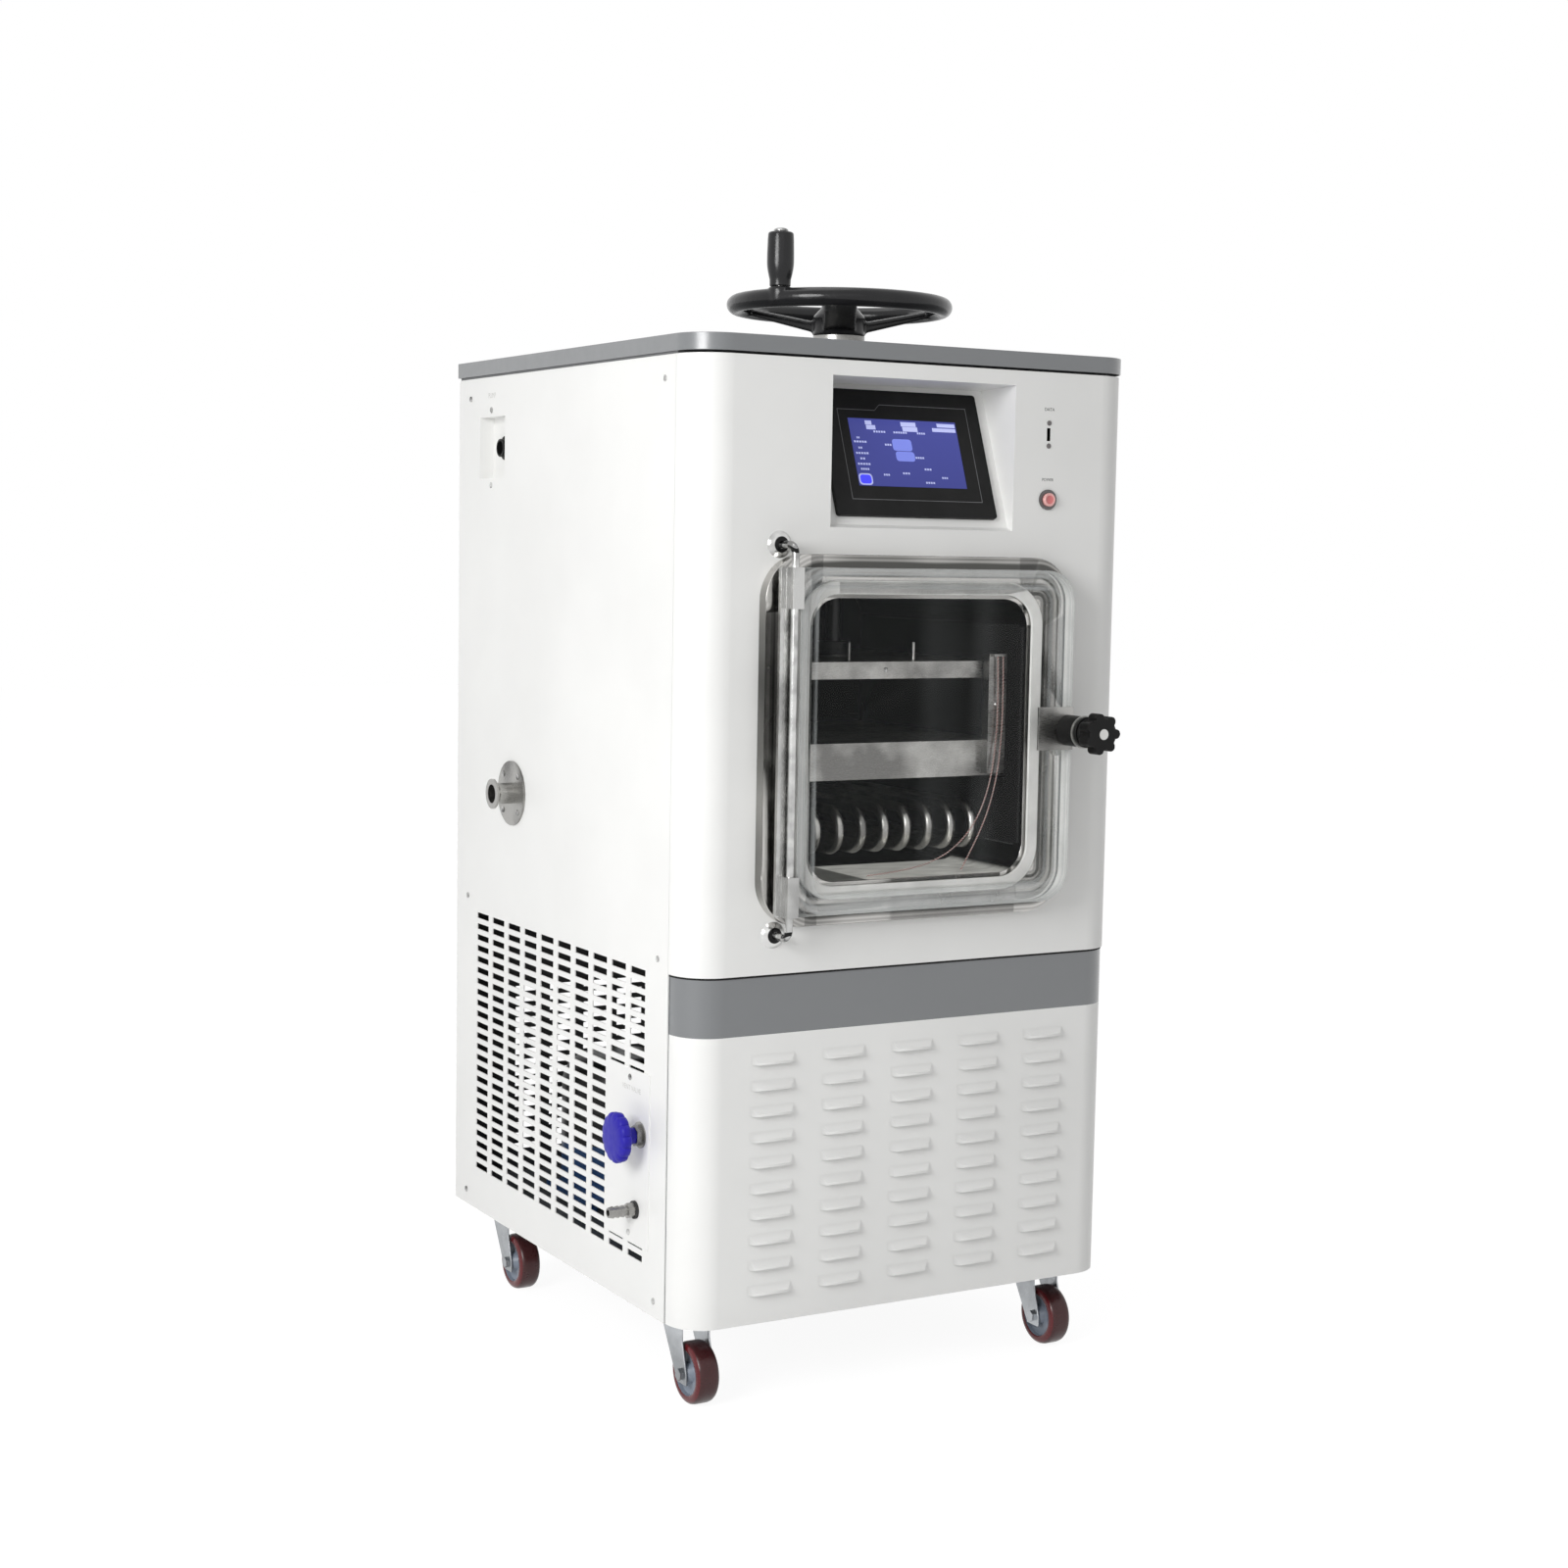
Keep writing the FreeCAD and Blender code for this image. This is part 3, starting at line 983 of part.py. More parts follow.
def build_jacket():
    """Foam round the chamber, open at the front, with holes for the press and the pump line."""
    fit = f"(chamber_wall + chamber_clear)"
    thick = f"({fit} + jacket_thick)"
    body = new_body("jacket_body")

    def block(extra, radius):
        wide, tall = f"(chamber_wide + 2 * {extra})", f"(chamber_tall + 2 * {extra})"
        return rounded(f"chamber_x - {wide} / 2", f"chamber_z - {tall} / 2", wide, tall, radius)
    add(body, "XZ", "jacket_front", f"chamber_deep + {thick}", block(thick, f"(chamber_round + {thick})"))
    remove(body, "XZ", "jacket_front", f"chamber_deep + {fit}", block(fit, f"(chamber_round + {fit})"))
    tube = circle("port_turn", "port_z", "port_tube + port_clear")
    remove(body, "XZ", "chamber_deep", f"chamber_deep + {thick}", tube)
    hole = cylinder("jacket_hole", "z", "column_radius + chamber_clear", "2 * jacket_thick",
                    "press_x", PRESS_Y, CHAMBER_TOP)
    keep(cut("jacket_cut", body, hole), "chamber_jacket")


def build_gasket():
    body = new_body("gasket_body")

    def ring(grow, radius):
        wide, tall = f"(chamber_wide + 2 * ({grow}))", f"(chamber_tall + 2 * ({grow}))"
        return rounded(f"chamber_x - {wide} / 2", f"chamber_z - {tall} / 2", wide, tall, radius)
    outer = ring("gasket_in + gasket_band", "(gasket_round + gasket_band)")
    add(body, "XZ", f"-({DOOR_BACK})", "-flange_thick", outer, ring("gasket_in", "gasket_round"))
    keep(body, "door_gasket")


# ---------------------------------------------------------------- door, hinge and latch
def build_door():
    body = new_body("door_body")
    back, front = f"-({DOOR_BACK})", f"-({DOOR_FRONT})"
    add(body, "XZ", front, back, rectangle(
        DOOR_LEFT, DOOR_LOW, f"{DOOR_RIGHT} - {DOOR_LEFT}", f"{DOOR_HIGH} - {DOOR_LOW}"))

    def far_corner(edge):
        across = edge.BoundBox
        level = across.YLength > 1 and across.XLength + across.ZLength < 0.001
        return level and abs(across.XMin - number(DOOR_RIGHT)) < 0.01
    round_edges(body, "door_round", far_corner)
    notch = "latch_shaft + 2 * latch_fit"
    remove(body, "XZ", front, back, circle(LATCH_X, LATCH_Z, notch))
    remove(body, "XZ", front, back, rectangle(
        LATCH_X, f"{LATCH_Z} - ({notch})", f"{DOOR_RIGHT} - {LATCH_X}", f"2 * ({notch})"))
    keep(body, "door_panel")


def build_hinge():
    """A leaf with two knuckles on the door's edge, turning on a rod bent into the front panel."""
    door_tall, knuckle_front = f"{DOOR_HIGH} - {DOOR_LOW}", f"-{ROD_Y} - knuckle_half"
    leaf = box("hinge_leaf", f"{DOOR_LEFT} - leaf_wide", f"-{ROD_Y} + knuckle_half", DOOR_LOW,
               "leaf_wide", "leaf_thick", door_tall)
    size = ("knuckle_wide", "2 * knuckle_half", "knuckle_tall")
    left = f"{DOOR_LEFT} - knuckle_wide"
    upper = box("upper_knuckle", left, knuckle_front, f"{DOOR_HIGH} - knuckle_tall", *size)
    lower = box("lower_knuckle", left, knuckle_front, DOOR_LOW, *size)
    bore = cylinder("hinge_bore", "z", "rod_radius + rod_fit", door_tall, ROD_X, f"-{ROD_Y}", DOOR_LOW)
    keep(cut("hinge_cut", fuse("hinge_solid", leaf, upper, lower), bore), "hinge_strip")
    corners = [
        point(ROD_X, "rod_tail", ROD_HIGH), point(ROD_X, f"-{ROD_Y}", ROD_HIGH),
        point(ROD_X, f"-{ROD_Y}", ROD_LOW), point(ROD_X, "rod_tail", ROD_LOW),
    ]
    wire, _ = path_of(corners, number("rod_bend"))
    parts = [feature("hinge_rod_bar", tube_along(wire, number("rod_radius")))]
    for name, z in (("high", ROD_HIGH), ("low", ROD_LOW)):
        dome = doc.addObject("Part::Sphere", f"rosette_{name}")
        radius = "(rosette_radius ^ 2 + rosette_dome ^ 2) / (2 * rosette_dome)"
        bind(dome, Radius=radius, Angle1=f"asin(({radius} - rosette_dome) / ({radius}))")
        place(dome, ROD_X, f"{radius} - rosette_dome", z, ALONG["-y"])
        parts.append(dome)
    keep(fuse("hinge_rod_solid", *parts), "hinge_rod")


def build_latch():
    """A plate and a black sleeve on the door, and the star-knob shaft with its tongue."""
    x, z = LATCH_X, LATCH_Z
    front = f"-({DOOR_FRONT})"
    plate = box("latch_plate", f"{DOOR_RIGHT} - latch_plate_wide", f"{front} - latch_plate_thick",
                f"{z} - latch_plate_down", "latch_plate_wide", "latch_plate_thick",
                "latch_plate_down + latch_plate_up")
    hole = cylinder("latch_plate_hole", "-y", "latch_shaft + latch_fit", "latch_plate_thick", x, front, z)
    keep(cut("latch_plate_cut", plate, hole), "latch_bracket")
    base = f"{front} - latch_plate_thick"
    sleeve = cylinder("sleeve_rod", "-y", "sleeve_radius", "sleeve_long", x, base, z)
    bore = cylinder("sleeve_bore", "-y", "latch_shaft + latch_fit", "sleeve_long", x, base, z)
    keep(cut("sleeve_cut", sleeve, bore), "latch_sleeve")
    tongue_front = "-flange_thick - tongue_gap - tongue_thick"
    tongue = box("latch_tongue", f"{x} - tongue_wide / 2", tongue_front, f"{z} - tongue_long",
                 "tongue_wide", "tongue_thick", "tongue_long + tongue_wide / 2")
    star_front = f"-({STAR_BACK}) - star_thick"
    shaft = cylinder("latch_rod", "y", "latch_shaft", f"{tongue_front} - ({star_front})", x, star_front, z)
    cap = cylinder("latch_cap", "-y", "cap_radius", "1", x, star_front, z)
    keep(fuse("latch_solid", tongue, shaft, cap), "latch_shaft")
    star = new_body("star_body", x, "0", z)
    back = f"-({STAR_BACK})"
    add(star, "XZ", star_front, back, circle("0", "0", "star_radius"))
    lobe = add(star, "XZ", star_front, back, circle("star_radius", "0", "star_lobe"))
    around(star, [lobe], "star_lobes")
    neck = f"-({SLEEVE_FRONT}) - sleeve_gap"
    add(star, "XZ", back, f"{neck} - ring_thick", circle("0", "0", "grip_neck"))
    add(star, "XZ", f"{neck} - ring_thick", neck, circle("0", "0", "ring_radius"))
    remove(star, "XZ", star_front, neck, circle("0", "0", "latch_shaft + latch_fit"))
    keep(star, "star_knob")


# ---------------------------------------------------------------- shelf and press
def build_shelf():
    left, front = f"chamber_x - {SHELF_WIDE} / 2", "shelf_front"
    wall = "shelf_wall"
    block = box("shelf_block", left, front, "shelf_low", SHELF_WIDE, SHELF_DEEP, "shelf_tall")
    hollow = box("shelf_hollow", f"{left} + {wall}", f"{front} + {wall}", "shelf_low",
                 f"{SHELF_WIDE} - 2 * {wall}", f"{SHELF_DEEP} - 2 * {wall}", "shelf_tall - shelf_top")
    keep(cut("shelf_cut", block, hollow), "shelf")


def build_press_plate():
    """The stoppering plate, its socket for the rod, and two upright studs."""
    left, front = f"press_x - {PRESS_WIDE} / 2", f"{PRESS_Y} - {PRESS_DEEP} / 2"
    plate = box("press_block", left, front, "press_low", PRESS_WIDE, PRESS_DEEP, "press_thick")
    top = "press_low + press_thick"
    boss = cylinder("press_boss_ring", "z", "press_boss", "press_boss_tall", "press_x", PRESS_Y, top)
    studs = [
        cylinder(f"press_{stud}", "z", "stud_radius", "stud_tall", f"{left} + {stud}", f"{front} + stud_in", top)
        for stud in ("stud_first", "stud_second")
    ]
    hole = cylinder("press_boss_hole", "z", "screw_rod + screw_fit", "press_boss_tall",
                    "press_x", PRESS_Y, top)
    keep(cut("press_cut", fuse("press_solid", plate, boss, *studs), hole), "press_plate")
    rod = cylinder("press_rod_bar", "z", "screw_rod", f"{COVER_TOP} + screw_rod_rise - ({top})",
                   "press_x", PRESS_Y, top)
    keep(rod, "press_rod")


def build_press_frame():
    """A column on the chamber, a bridge under the chassis top, and the wheel's collar."""
    x, y = "press_x", PRESS_Y
    bridge = box("bridge_bar", "sheet_thick + angle_thick", f"{y} - bridge_wide / 2", BRIDGE_LOW,
                 "body_width - 2 * (sheet_thick + angle_thick)", "bridge_wide", "bridge_thick")
    column = cylinder("column_tube", "z", "column_radius", f"{BRIDGE_LOW} - ({CHAMBER_TOP})", x, y, CHAMBER_TOP)
    bridge_top = f"{BRIDGE_LOW} + bridge_thick"
    collar = cylinder("collar_ring", "z", "collar_radius", f"{COLLAR_TOP} - ({bridge_top})", x, y, bridge_top)
    gland = cylinder("gland_bore", "z", "screw_rod + screw_fit", "gland_tall", x, y, CHAMBER_TOP)
    bore_low = f"{CHAMBER_TOP} + gland_tall"
    bore = cylinder("column_bore", "z", "spigot_radius + screw_fit", f"{COLLAR_TOP} - ({bore_low})", x, y, bore_low)
    keep(cut("press_frame_cut", fuse("press_frame_solid", bridge, column, collar), gland, bore), "press_frame")


def build_handwheel():
    """A dished handwheel with three spokes, turned about the press rod's axis."""
    body = new_body("wheel_body", "press_x", PRESS_Y, "0")
    bore, seat, spigot = "screw_rod + screw_fit", f"{COLLAR_TOP} + running_gap", f"{COLLAR_TOP} - spigot_long"
    shoulder, top = f"{COVER_TOP} + shoulder_rise", f"{COVER_TOP} + hub_rise"
    revolve(body, "XZ", "V_Axis", outline(
        (bore, spigot), ("spigot_radius", spigot), ("spigot_radius", seat), ("hub_radius", seat),
        ("hub_radius", shoulder), ("hub_top_radius", f"{shoulder} + hub_taper"),
        ("hub_top_radius", top), ("0", top), ("0", f"{top} - hub_cap"), (bore, f"{top} - hub_cap")))
    rim_reach = "wheel_radius - rim_radius"
    inner, outer = "hub_radius - spoke_root", f"{rim_reach} - rim_radius / 2"
    spoke_end = f"{RIM_LEVEL} - spoke_drop"
    spoke = add(body, "XZ", "-spoke_wide / 2", "spoke_wide / 2", outline(
        (inner, f"{seat} + spoke_lift"), (outer, spoke_end), (outer, f"{spoke_end} + spoke_thick"),
        (inner, f"{seat} + spoke_lift + 1.5 * spoke_thick")))
    around(body, [spoke], "spoke_count", body.Origin.OriginFeatures[2])
    revolve(body, "XZ", "V_Axis", circle(rim_reach, RIM_LEVEL, "rim_radius"))
    x, y = handle_place()
    seat_top = f"{RIM_LEVEL} + handle_seat_rise"
    add(body, "XY", f"{RIM_LEVEL} - handle_seat_sink", seat_top, circle(x, y, "handle_seat"))
    remove(body, "XY", RIM_LEVEL, seat_top, circle(x, y, "spindle_radius + spindle_fit"))
    keep(body, "handwheel")


def handle_place():
    reach = "(wheel_radius - rim_radius - handle_in)"
    return [f"{reach} * {turn}(handle_bearing * 1 deg)" for turn in ("cos", "sin")]


def build_handle():
    """A revolving grip on a spindle that stands on the handwheel's rim."""
    across, along = handle_place()
    x, y = f"press_x + {across}", f"{PRESS_Y} + {along}"
    low = f"{RIM_LEVEL} + handle_seat_rise + grip_gap"
    high = f"{low} + grip_tall"
    grip = new_body("grip_body", x, y, "0")
    bore = "spindle_radius + spindle_fit"
    revolve(grip, "XZ", "V_Axis", outline(
        (bore, low), ("grip_low_radius", low), ("grip_low_radius", f"{low} + grip_tall / 5"),
        ("grip_high_radius", f"{low} + grip_tall / 2"), ("grip_high_radius", f"{high} - grip_shoulder"),
        ("grip_high_radius - grip_end", high), (bore, high)))
    keep(grip, "handle_grip")
    head = f"{high} + grip_gap"
    shank = cylinder("spindle_shank", "z", "spindle_radius", f"{head} - {RIM_LEVEL}", x, y, RIM_LEVEL)
    cap = cone("spindle_cap", "z", "spindle_head", "spindle_crown", "spindle_head_tall", x, y, head)
    keep(fuse("spindle_solid", shank, cap), "handle_spindle")


# ---------------------------------------------------------------- probes
BRACKET_FRONT = "shelf_front - bracket_deep"


def build_probe_bracket():
    """A folded channel on the shelf's front edge, with a small lip over the probe wires."""
    left, low, wall = f"chamber_x + {SHELF_WIDE} / 2 - bracket_in", "shelf_low + bracket_up", "bracket_sheet"
    tall = f"bracket_high - ({low})"
    outer = box("bracket_outer", left, BRACKET_FRONT, low, "bracket_wide", "bracket_deep", tall)
    inner = box("bracket_inner", f"{left} + {wall}", f"{BRACKET_FRONT} + {wall}", low,
                f"bracket_wide - 2 * {wall}", "bracket_deep", tall)
    lip = box("bracket_lip", f"{left} + bracket_lip_in", f"{BRACKET_FRONT} - bracket_lip_out",
              "bracket_high - bracket_lip_tall", "bracket_wide - 2 * bracket_lip_in",
              "bracket_lip_out", "bracket_lip_tall")
    keep(fuse("bracket_solid", cut("bracket_channel", outer, inner), lip), "probe_bracket")


# Each probe wire hangs down the bracket's face and bends away to the chamber floor.
long_wire = [
    (430, 9.4, 797), (432, 9.4, 744), (430, 9.2, 689), (422, 8.3, 638), (403, 7, 594), (372, 5.6, 562),
    (332, 4.6, 544), (287, 4, 536.5), (243, 3.6, 533.6),
]
short_wire = [
    (438, 9.4, 797), (439.5, 9.4, 747), (438, 9.2, 694), (432, 8.4, 646), (419, 7.4, 603), (400, 6.4, 566),
    (380, 5.6, 534),
]


def build_probe_wires():
    for label, spots in (("probe_wire_long", long_wire), ("probe_wire_short", short_wire)):
        wire, radii = path_of([Vector(*spot) for spot in spots])
        tube = tube_along(wire, number("wire_radius"))
        section = math.pi * number("wire_radius") ** 2
        share = tube.Volume / (section * wire.Length)
        rounded_radii = [round(radius, 1) for radius in radii]
        print(label, "length", round(wire.Length, 1), "radii", rounded_radii, "volume share", round(share, 4))
        keep(feature(f"{label}_tube", tube), label)


# ---------------------------------------------------------------- cold trap coil
def build_coil():
    """A flattened coil: straight runs from front to back, joined by half-round bends."""
    low, tall = number("coil_low"), number("coil_tall")
    front, back, deep = number("coil_front"), number("chamber_deep - coil_end"), number("chamber_deep")
    count = int(number("coil_turns"))
    left = number(f"{CHAMBER_LEFT} + coil_side")
    pitch = number("chamber_wide - 2 * coil_side") / (count - 1)
    high, middle = low + tall, low + tall / 2
    edges = []
    for k in range(count):
        x = left + k * pitch
        last = k == count - 1
        start_y = deep if k == 0 else back
        edges.append(Part.LineSegment(Vector(x, start_y, low), Vector(x, front, low)).toShape())
        bend = (Vector(x, front, low), Vector(x, front - tall / 2, middle), Vector(x, front, high))
        edges.append(Part.Arc(*bend).toShape())
        end_y = deep if last else back
        edges.append(Part.LineSegment(Vector(x, front, high), Vector(x, end_y, high)).toShape())
        if not last:
            reach = math.hypot(pitch, tall) / 2
            bend = (Vector(x, back, high), Vector(x + pitch / 2, back + reach, middle), Vector(x + pitch, back, low))
            edges.append(Part.Arc(*bend).toShape())
    wire = Part.Wire(edges)
    keep(feature("coil_tube_run", tube_along(wire, number("coil_tube"))), "cold_trap_coil")


# ---------------------------------------------------------------- machine bay
def build_compressor():
    """A sealed compressor can on a base plate with four rubber feet."""
    base = "angle_thick"
    body = new_body("compressor_body", "compressor_x", "body_depth - compressor_back", base)
    low = "compressor_foot + compressor_plate"
    revolve(body, "XZ", "V_Axis", outline(
        ("0", low), ("compressor_radius", low), ("compressor_radius", f"{low} + compressor_tall"),
        ("0", f"{low} + compressor_tall")))
    doc.recompute()
    top_edges = [edge for edge in body.Tip.Shape.Edges if isinstance(edge.Curve, Part.Circle)]
    high_level = max(edge.BoundBox.ZMin for edge in top_edges)

    def crown(edge):
        return isinstance(edge.Curve, Part.Circle) and abs(edge.BoundBox.ZMin - high_level) < 0.01
    round_edges(body, "compressor_radius / 2", crown)
    plate = "compressor_foot"
    half_x, half_y = "compressor_radius", "(compressor_radius - compressor_plate_in)"
    add(body, "XY", plate, low, rectangle(f"-{half_x}", f"-{half_y}", f"2 * {half_x}", f"2 * {half_y}"))
    foot = "compressor_foot_in"
    spots = [(f"{a}({half_x} - {foot})", f"{b}({half_y} - {foot})") for a in ("", "-") for b in ("", "-")]
    add(body, "XY", "0", plate, *[circle(x, y, "compressor_foot_radius") for x, y in spots])
    keep(body, "compressor")


def build_condenser():
    """A finned block on two feet, with a sheet shroud that leads air to the fan."""
    left, low, front = "condenser_left", "condenser_low", "condenser_front"
    wide, tall = "condenser_wide", "condenser_tall"
    block = box("condenser_block", left, front, low, wide, "condenser_deep", tall)
    back = f"{front} + condenser_deep"
    wall = "shroud_wall"
    shroud = box("shroud_box", left, back, low, wide, "shroud_deep", tall)
    inside = box("shroud_inside", f"{left} + {wall}", back, f"{low} + {wall}",
                 f"{wide} - 2 * {wall}", f"shroud_deep - {wall}", f"{tall} - 2 * {wall}")
    x, z = fan_place()
    opening = cylinder("shroud_opening", "y", "fan_radius + fan_clear", "2 * shroud_deep", x, back, z)
    spots = (f"{left} + condenser_foot_in", f"{left} + {wide} - condenser_foot_in - condenser_foot")
    feet = [
        box(f"condenser_foot_{k}", spot, front, "angle_thick", "condenser_foot", "condenser_deep",
            f"{low} - angle_thick")
        for k, spot in enumerate(spots)
    ]
    keep(fuse("condenser_unit", block, cut("shroud_cut", shroud, inside, opening), *feet), "condenser")


def fan_place():
    return "condenser_left + condenser_wide / 2", "condenser_low + condenser_tall / 2"


SHROUD_BACK = "condenser_front + condenser_deep + shroud_deep"
FAN_FRONT = f"{SHROUD_BACK} - fan_inset - fan_hub_long"


def build_fan():
    x, z = fan_place()
    body = new_body("fan_body", x, FAN_FRONT, z)
    add(body, "XZ", "0", "fan_hub_long", circle("0", "0", "fan_hub"))
    near, far = "(fan_hub_long - blade_front)", "blade_back"
    blade = add(body, "YZ", "fan_hub - blade_root", "fan_radius", outline(
        (far, "-blade_wide"), (f"{far} + blade_thick", "-blade_wide"),
        (near, "blade_wide"), (f"{near} - blade_thick", "blade_wide")))
    around(body, [blade], "blade_count", body.Origin.OriginFeatures[1])
    remove(body, "XZ", "fan_cap", "fan_hub_long", circle("0", "0", "motor_shaft + fan_fit"))
    keep(body, "cooling_fan")


def build_fan_motor():
    x, z = fan_place()
    face = f"{SHROUD_BACK} + motor_arm_thick"
    can = cylinder("motor_can", "y", "motor_radius", "motor_long", x, face, z)
    shaft = cylinder("motor_rod", "-y", "motor_shaft", f"{face} - ({FAN_FRONT}) - motor_shaft_short", x, face, z)
    arms = []
    for name, side in (("high", "+"), ("low", "-")):
        arms.append(box(f"motor_arm_{name}", "condenser_left", SHROUD_BACK,
                        f"{z} {side} motor_arm - motor_arm_tall / 2",
                        "condenser_wide", "motor_arm_thick", "motor_arm_tall"))
    keep(fuse("motor_solid", can, shaft, *arms), "fan_motor")


# ---------------------------------------------------------------- casters
def build_casters():
    """Four swivel casters that trail towards the front."""
    plates = []
    top = "-caster_plate_thick"
    race = f"{top} - race_tall"
    fork_top = f"{race} - fork_gap"
    fork_under = f"{fork_top} - fork_top"
    axle_z = "tyre_radius - caster_tall"
    leg_out = "hub_wide / 2 + fork_gap + fork_leg"
    for end, y in (("front", "caster_front"), ("rear", "body_depth - caster_back")):
        for side, x in (("left", "caster_in"), ("right", "body_width - caster_in")):
            name = f"{end}_{side}"
            plates.append(box(f"plate_{name}", f"{x} - caster_plate_wide / 2", f"{y} - caster_plate_long / 2",
                              top, "caster_plate_wide", "caster_plate_long", "caster_plate_thick"))
            plates.append(cylinder(f"race_{name}", "-z", "race_radius", "race_tall", x, y, top))
            pin_long = "fork_gap + fork_top + fork_gap + kingpin_head_tall"
            plates.append(cylinder(f"pin_{name}", "-z", "kingpin_radius", pin_long, x, y, race))
            plates.append(cylinder(f"pin_head_{name}", "-z", "kingpin_head", "kingpin_head_tall",
                                   x, y, f"{fork_under} - fork_gap"))
            fork = new_body(f"fork_body_{name}", x, y, "0")
            trail = "caster_trail"
            foot_low = f"{axle_z} - fork_foot"
            add(fork, "YZ", f"-({leg_out})", leg_out, outline(
                ("-fork_front", fork_top), ("fork_back", fork_top), ("fork_back", f"{fork_top} - fork_back_tall"),
                (f"-{trail} + fork_foot", foot_low), (f"-{trail} - fork_foot", foot_low),
                (f"-{trail} - fork_foot", f"{axle_z} + fork_nose"), ("-fork_front", f"{fork_top} - fork_front_tall")))
            remove(fork, "XZ", f"-{trail} - 2 * fork_foot", "2 * fork_back", rectangle(
                "-hub_wide / 2 - fork_gap", f"{foot_low} - 1", "hub_wide + 2 * fork_gap",
                f"({fork_under}) - ({foot_low}) + 1"))
            remove(fork, "XY", fork_under, fork_top, circle("0", "0", "kingpin_radius + axle_fit"))
            remove(fork, "YZ", f"-({leg_out})", leg_out, circle(f"-{trail}", axle_z, "axle_radius + axle_fit"))
            keep(fork, f"caster_fork_{name}")
            axle_y = f"{y} - {trail}"
            start = f"{x} - ({leg_out})"
            bolt = cylinder(f"bolt_{name}", "x", "axle_radius", f"2 * ({leg_out})", start, axle_y, axle_z)
            head = hexagon(f"bolt_head_{name}", "-x", "axle_hex", "axle_hex_thick", start, axle_y, axle_z)
            nut = hexagon(f"bolt_nut_{name}", "x", "axle_hex", "axle_hex_thick",
                          f"{x} + {leg_out}", axle_y, axle_z)
            keep(fuse(f"axle_solid_{name}", bolt, head, nut), f"caster_axle_{name}")
            wheel = new_body(f"wheel_body_{name}", x, axle_y, axle_z)
            build_caster_wheel(wheel)
            keep(wheel, f"caster_wheel_{name}")
    keep(fuse("caster_plate_set", *plates), "caster_plates")


def build_caster_wheel(body):
    """A tread moulded on a dished core, turned about the axle."""
    bore = "axle_radius + axle_fit"
    tread = "tyre_wide / 2"
    half = [
        ("hub_wide / 2", bore), ("hub_wide / 2", "wheel_boss"), ("wheel_web / 2", "wheel_boss + wheel_dish"),
        ("wheel_web / 2", "wheel_rim - wheel_dish"), (tread, "wheel_rim"), (tread, "tyre_radius - tyre_round"),
        (f"{tread} - tyre_round / 4", "tyre_radius - tyre_round / 3"), (f"{tread} - tyre_round", "tyre_radius"),
    ]
    mirrored = [(f"-({x})", z) for x, z in reversed(half)]
    revolve(body, "XZ", "H_Axis", outline(*half, *mirrored))


# ---------------------------------------------------------------- build, test and write
steps = [
    build_chassis, build_side_panels, build_rear_panel, build_power_inlet, build_top_cover,
    build_front_upper_panel, build_lower_front, build_screen, build_data_socket, build_button,
    build_service_plate, build_valve, build_drain, build_pump_socket, build_vacuum_port,
    build_panel_screws, build_chamber, build_jacket, build_gasket, build_door, build_hinge,
    build_latch, build_shelf, build_press_plate, build_press_frame, build_handwheel, build_handle,
    build_probe_bracket, build_probe_wires, build_coil, build_compressor, build_condenser,
    build_fan, build_fan_motor, build_casters,
]
for build in steps:
    build()
doc.recompute()

faults = [thing.Label for thing in doc.Objects if {"Invalid", "Error"} & set(thing.State)]
for thing in nodes:
    if thing.Shape.isNull() or not thing.Shape.isValid() or thing.Shape.Volume <= 0:
        faults.append(f"{thing.Label} has no sound shape")
if faults:
    raise RuntimeError(f"failed: {faults}")

os.makedirs("parts", exist_ok=True)
for thing in nodes:
    thing.Shape.exportStep(f"parts/{thing.Label}.step")
    print(thing.Label, len(thing.Shape.Solids), round(thing.Shape.Volume))
print(len(nodes), "pieces")
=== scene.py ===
import bpy, bmesh, math
from mathutils import Matrix, Vector


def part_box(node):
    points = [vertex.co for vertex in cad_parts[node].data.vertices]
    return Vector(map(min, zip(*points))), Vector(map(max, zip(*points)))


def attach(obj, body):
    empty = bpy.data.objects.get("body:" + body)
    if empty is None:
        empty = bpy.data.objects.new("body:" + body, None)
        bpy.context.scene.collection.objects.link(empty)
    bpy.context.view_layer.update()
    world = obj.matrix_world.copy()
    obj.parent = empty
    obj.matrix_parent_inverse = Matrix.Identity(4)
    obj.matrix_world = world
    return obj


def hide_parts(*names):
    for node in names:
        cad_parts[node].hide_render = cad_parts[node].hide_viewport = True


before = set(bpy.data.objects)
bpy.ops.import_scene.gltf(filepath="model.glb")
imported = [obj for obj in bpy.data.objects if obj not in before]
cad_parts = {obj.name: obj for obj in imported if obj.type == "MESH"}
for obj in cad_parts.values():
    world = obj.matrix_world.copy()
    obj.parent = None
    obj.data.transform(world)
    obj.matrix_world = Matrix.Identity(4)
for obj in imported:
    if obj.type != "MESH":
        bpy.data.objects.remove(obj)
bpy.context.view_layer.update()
print("frame loaded", len(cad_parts), "nodes")

# every place comes from the frame's own boxes
mm = 0.001
casterCorners = ("front_left", "front_right", "rear_left", "rear_right")
cabinetCorner = Vector((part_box("left_side_panel")[0].x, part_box("front_upper_panel")[0].y,
                        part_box("caster_plates")[1].z))


def boxCentre(node):
    low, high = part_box(node)
    return (low + high) / 2


def newObject(name, data):
    thing = bpy.data.objects.new(name, data)
    bpy.context.scene.collection.objects.link(thing)
    return thing


# a place whose three axes point along these directions
def axesAt(place, right, up, back):
    return Matrix.Translation(place) @ Matrix((right, up, back)).transposed().to_4x4()


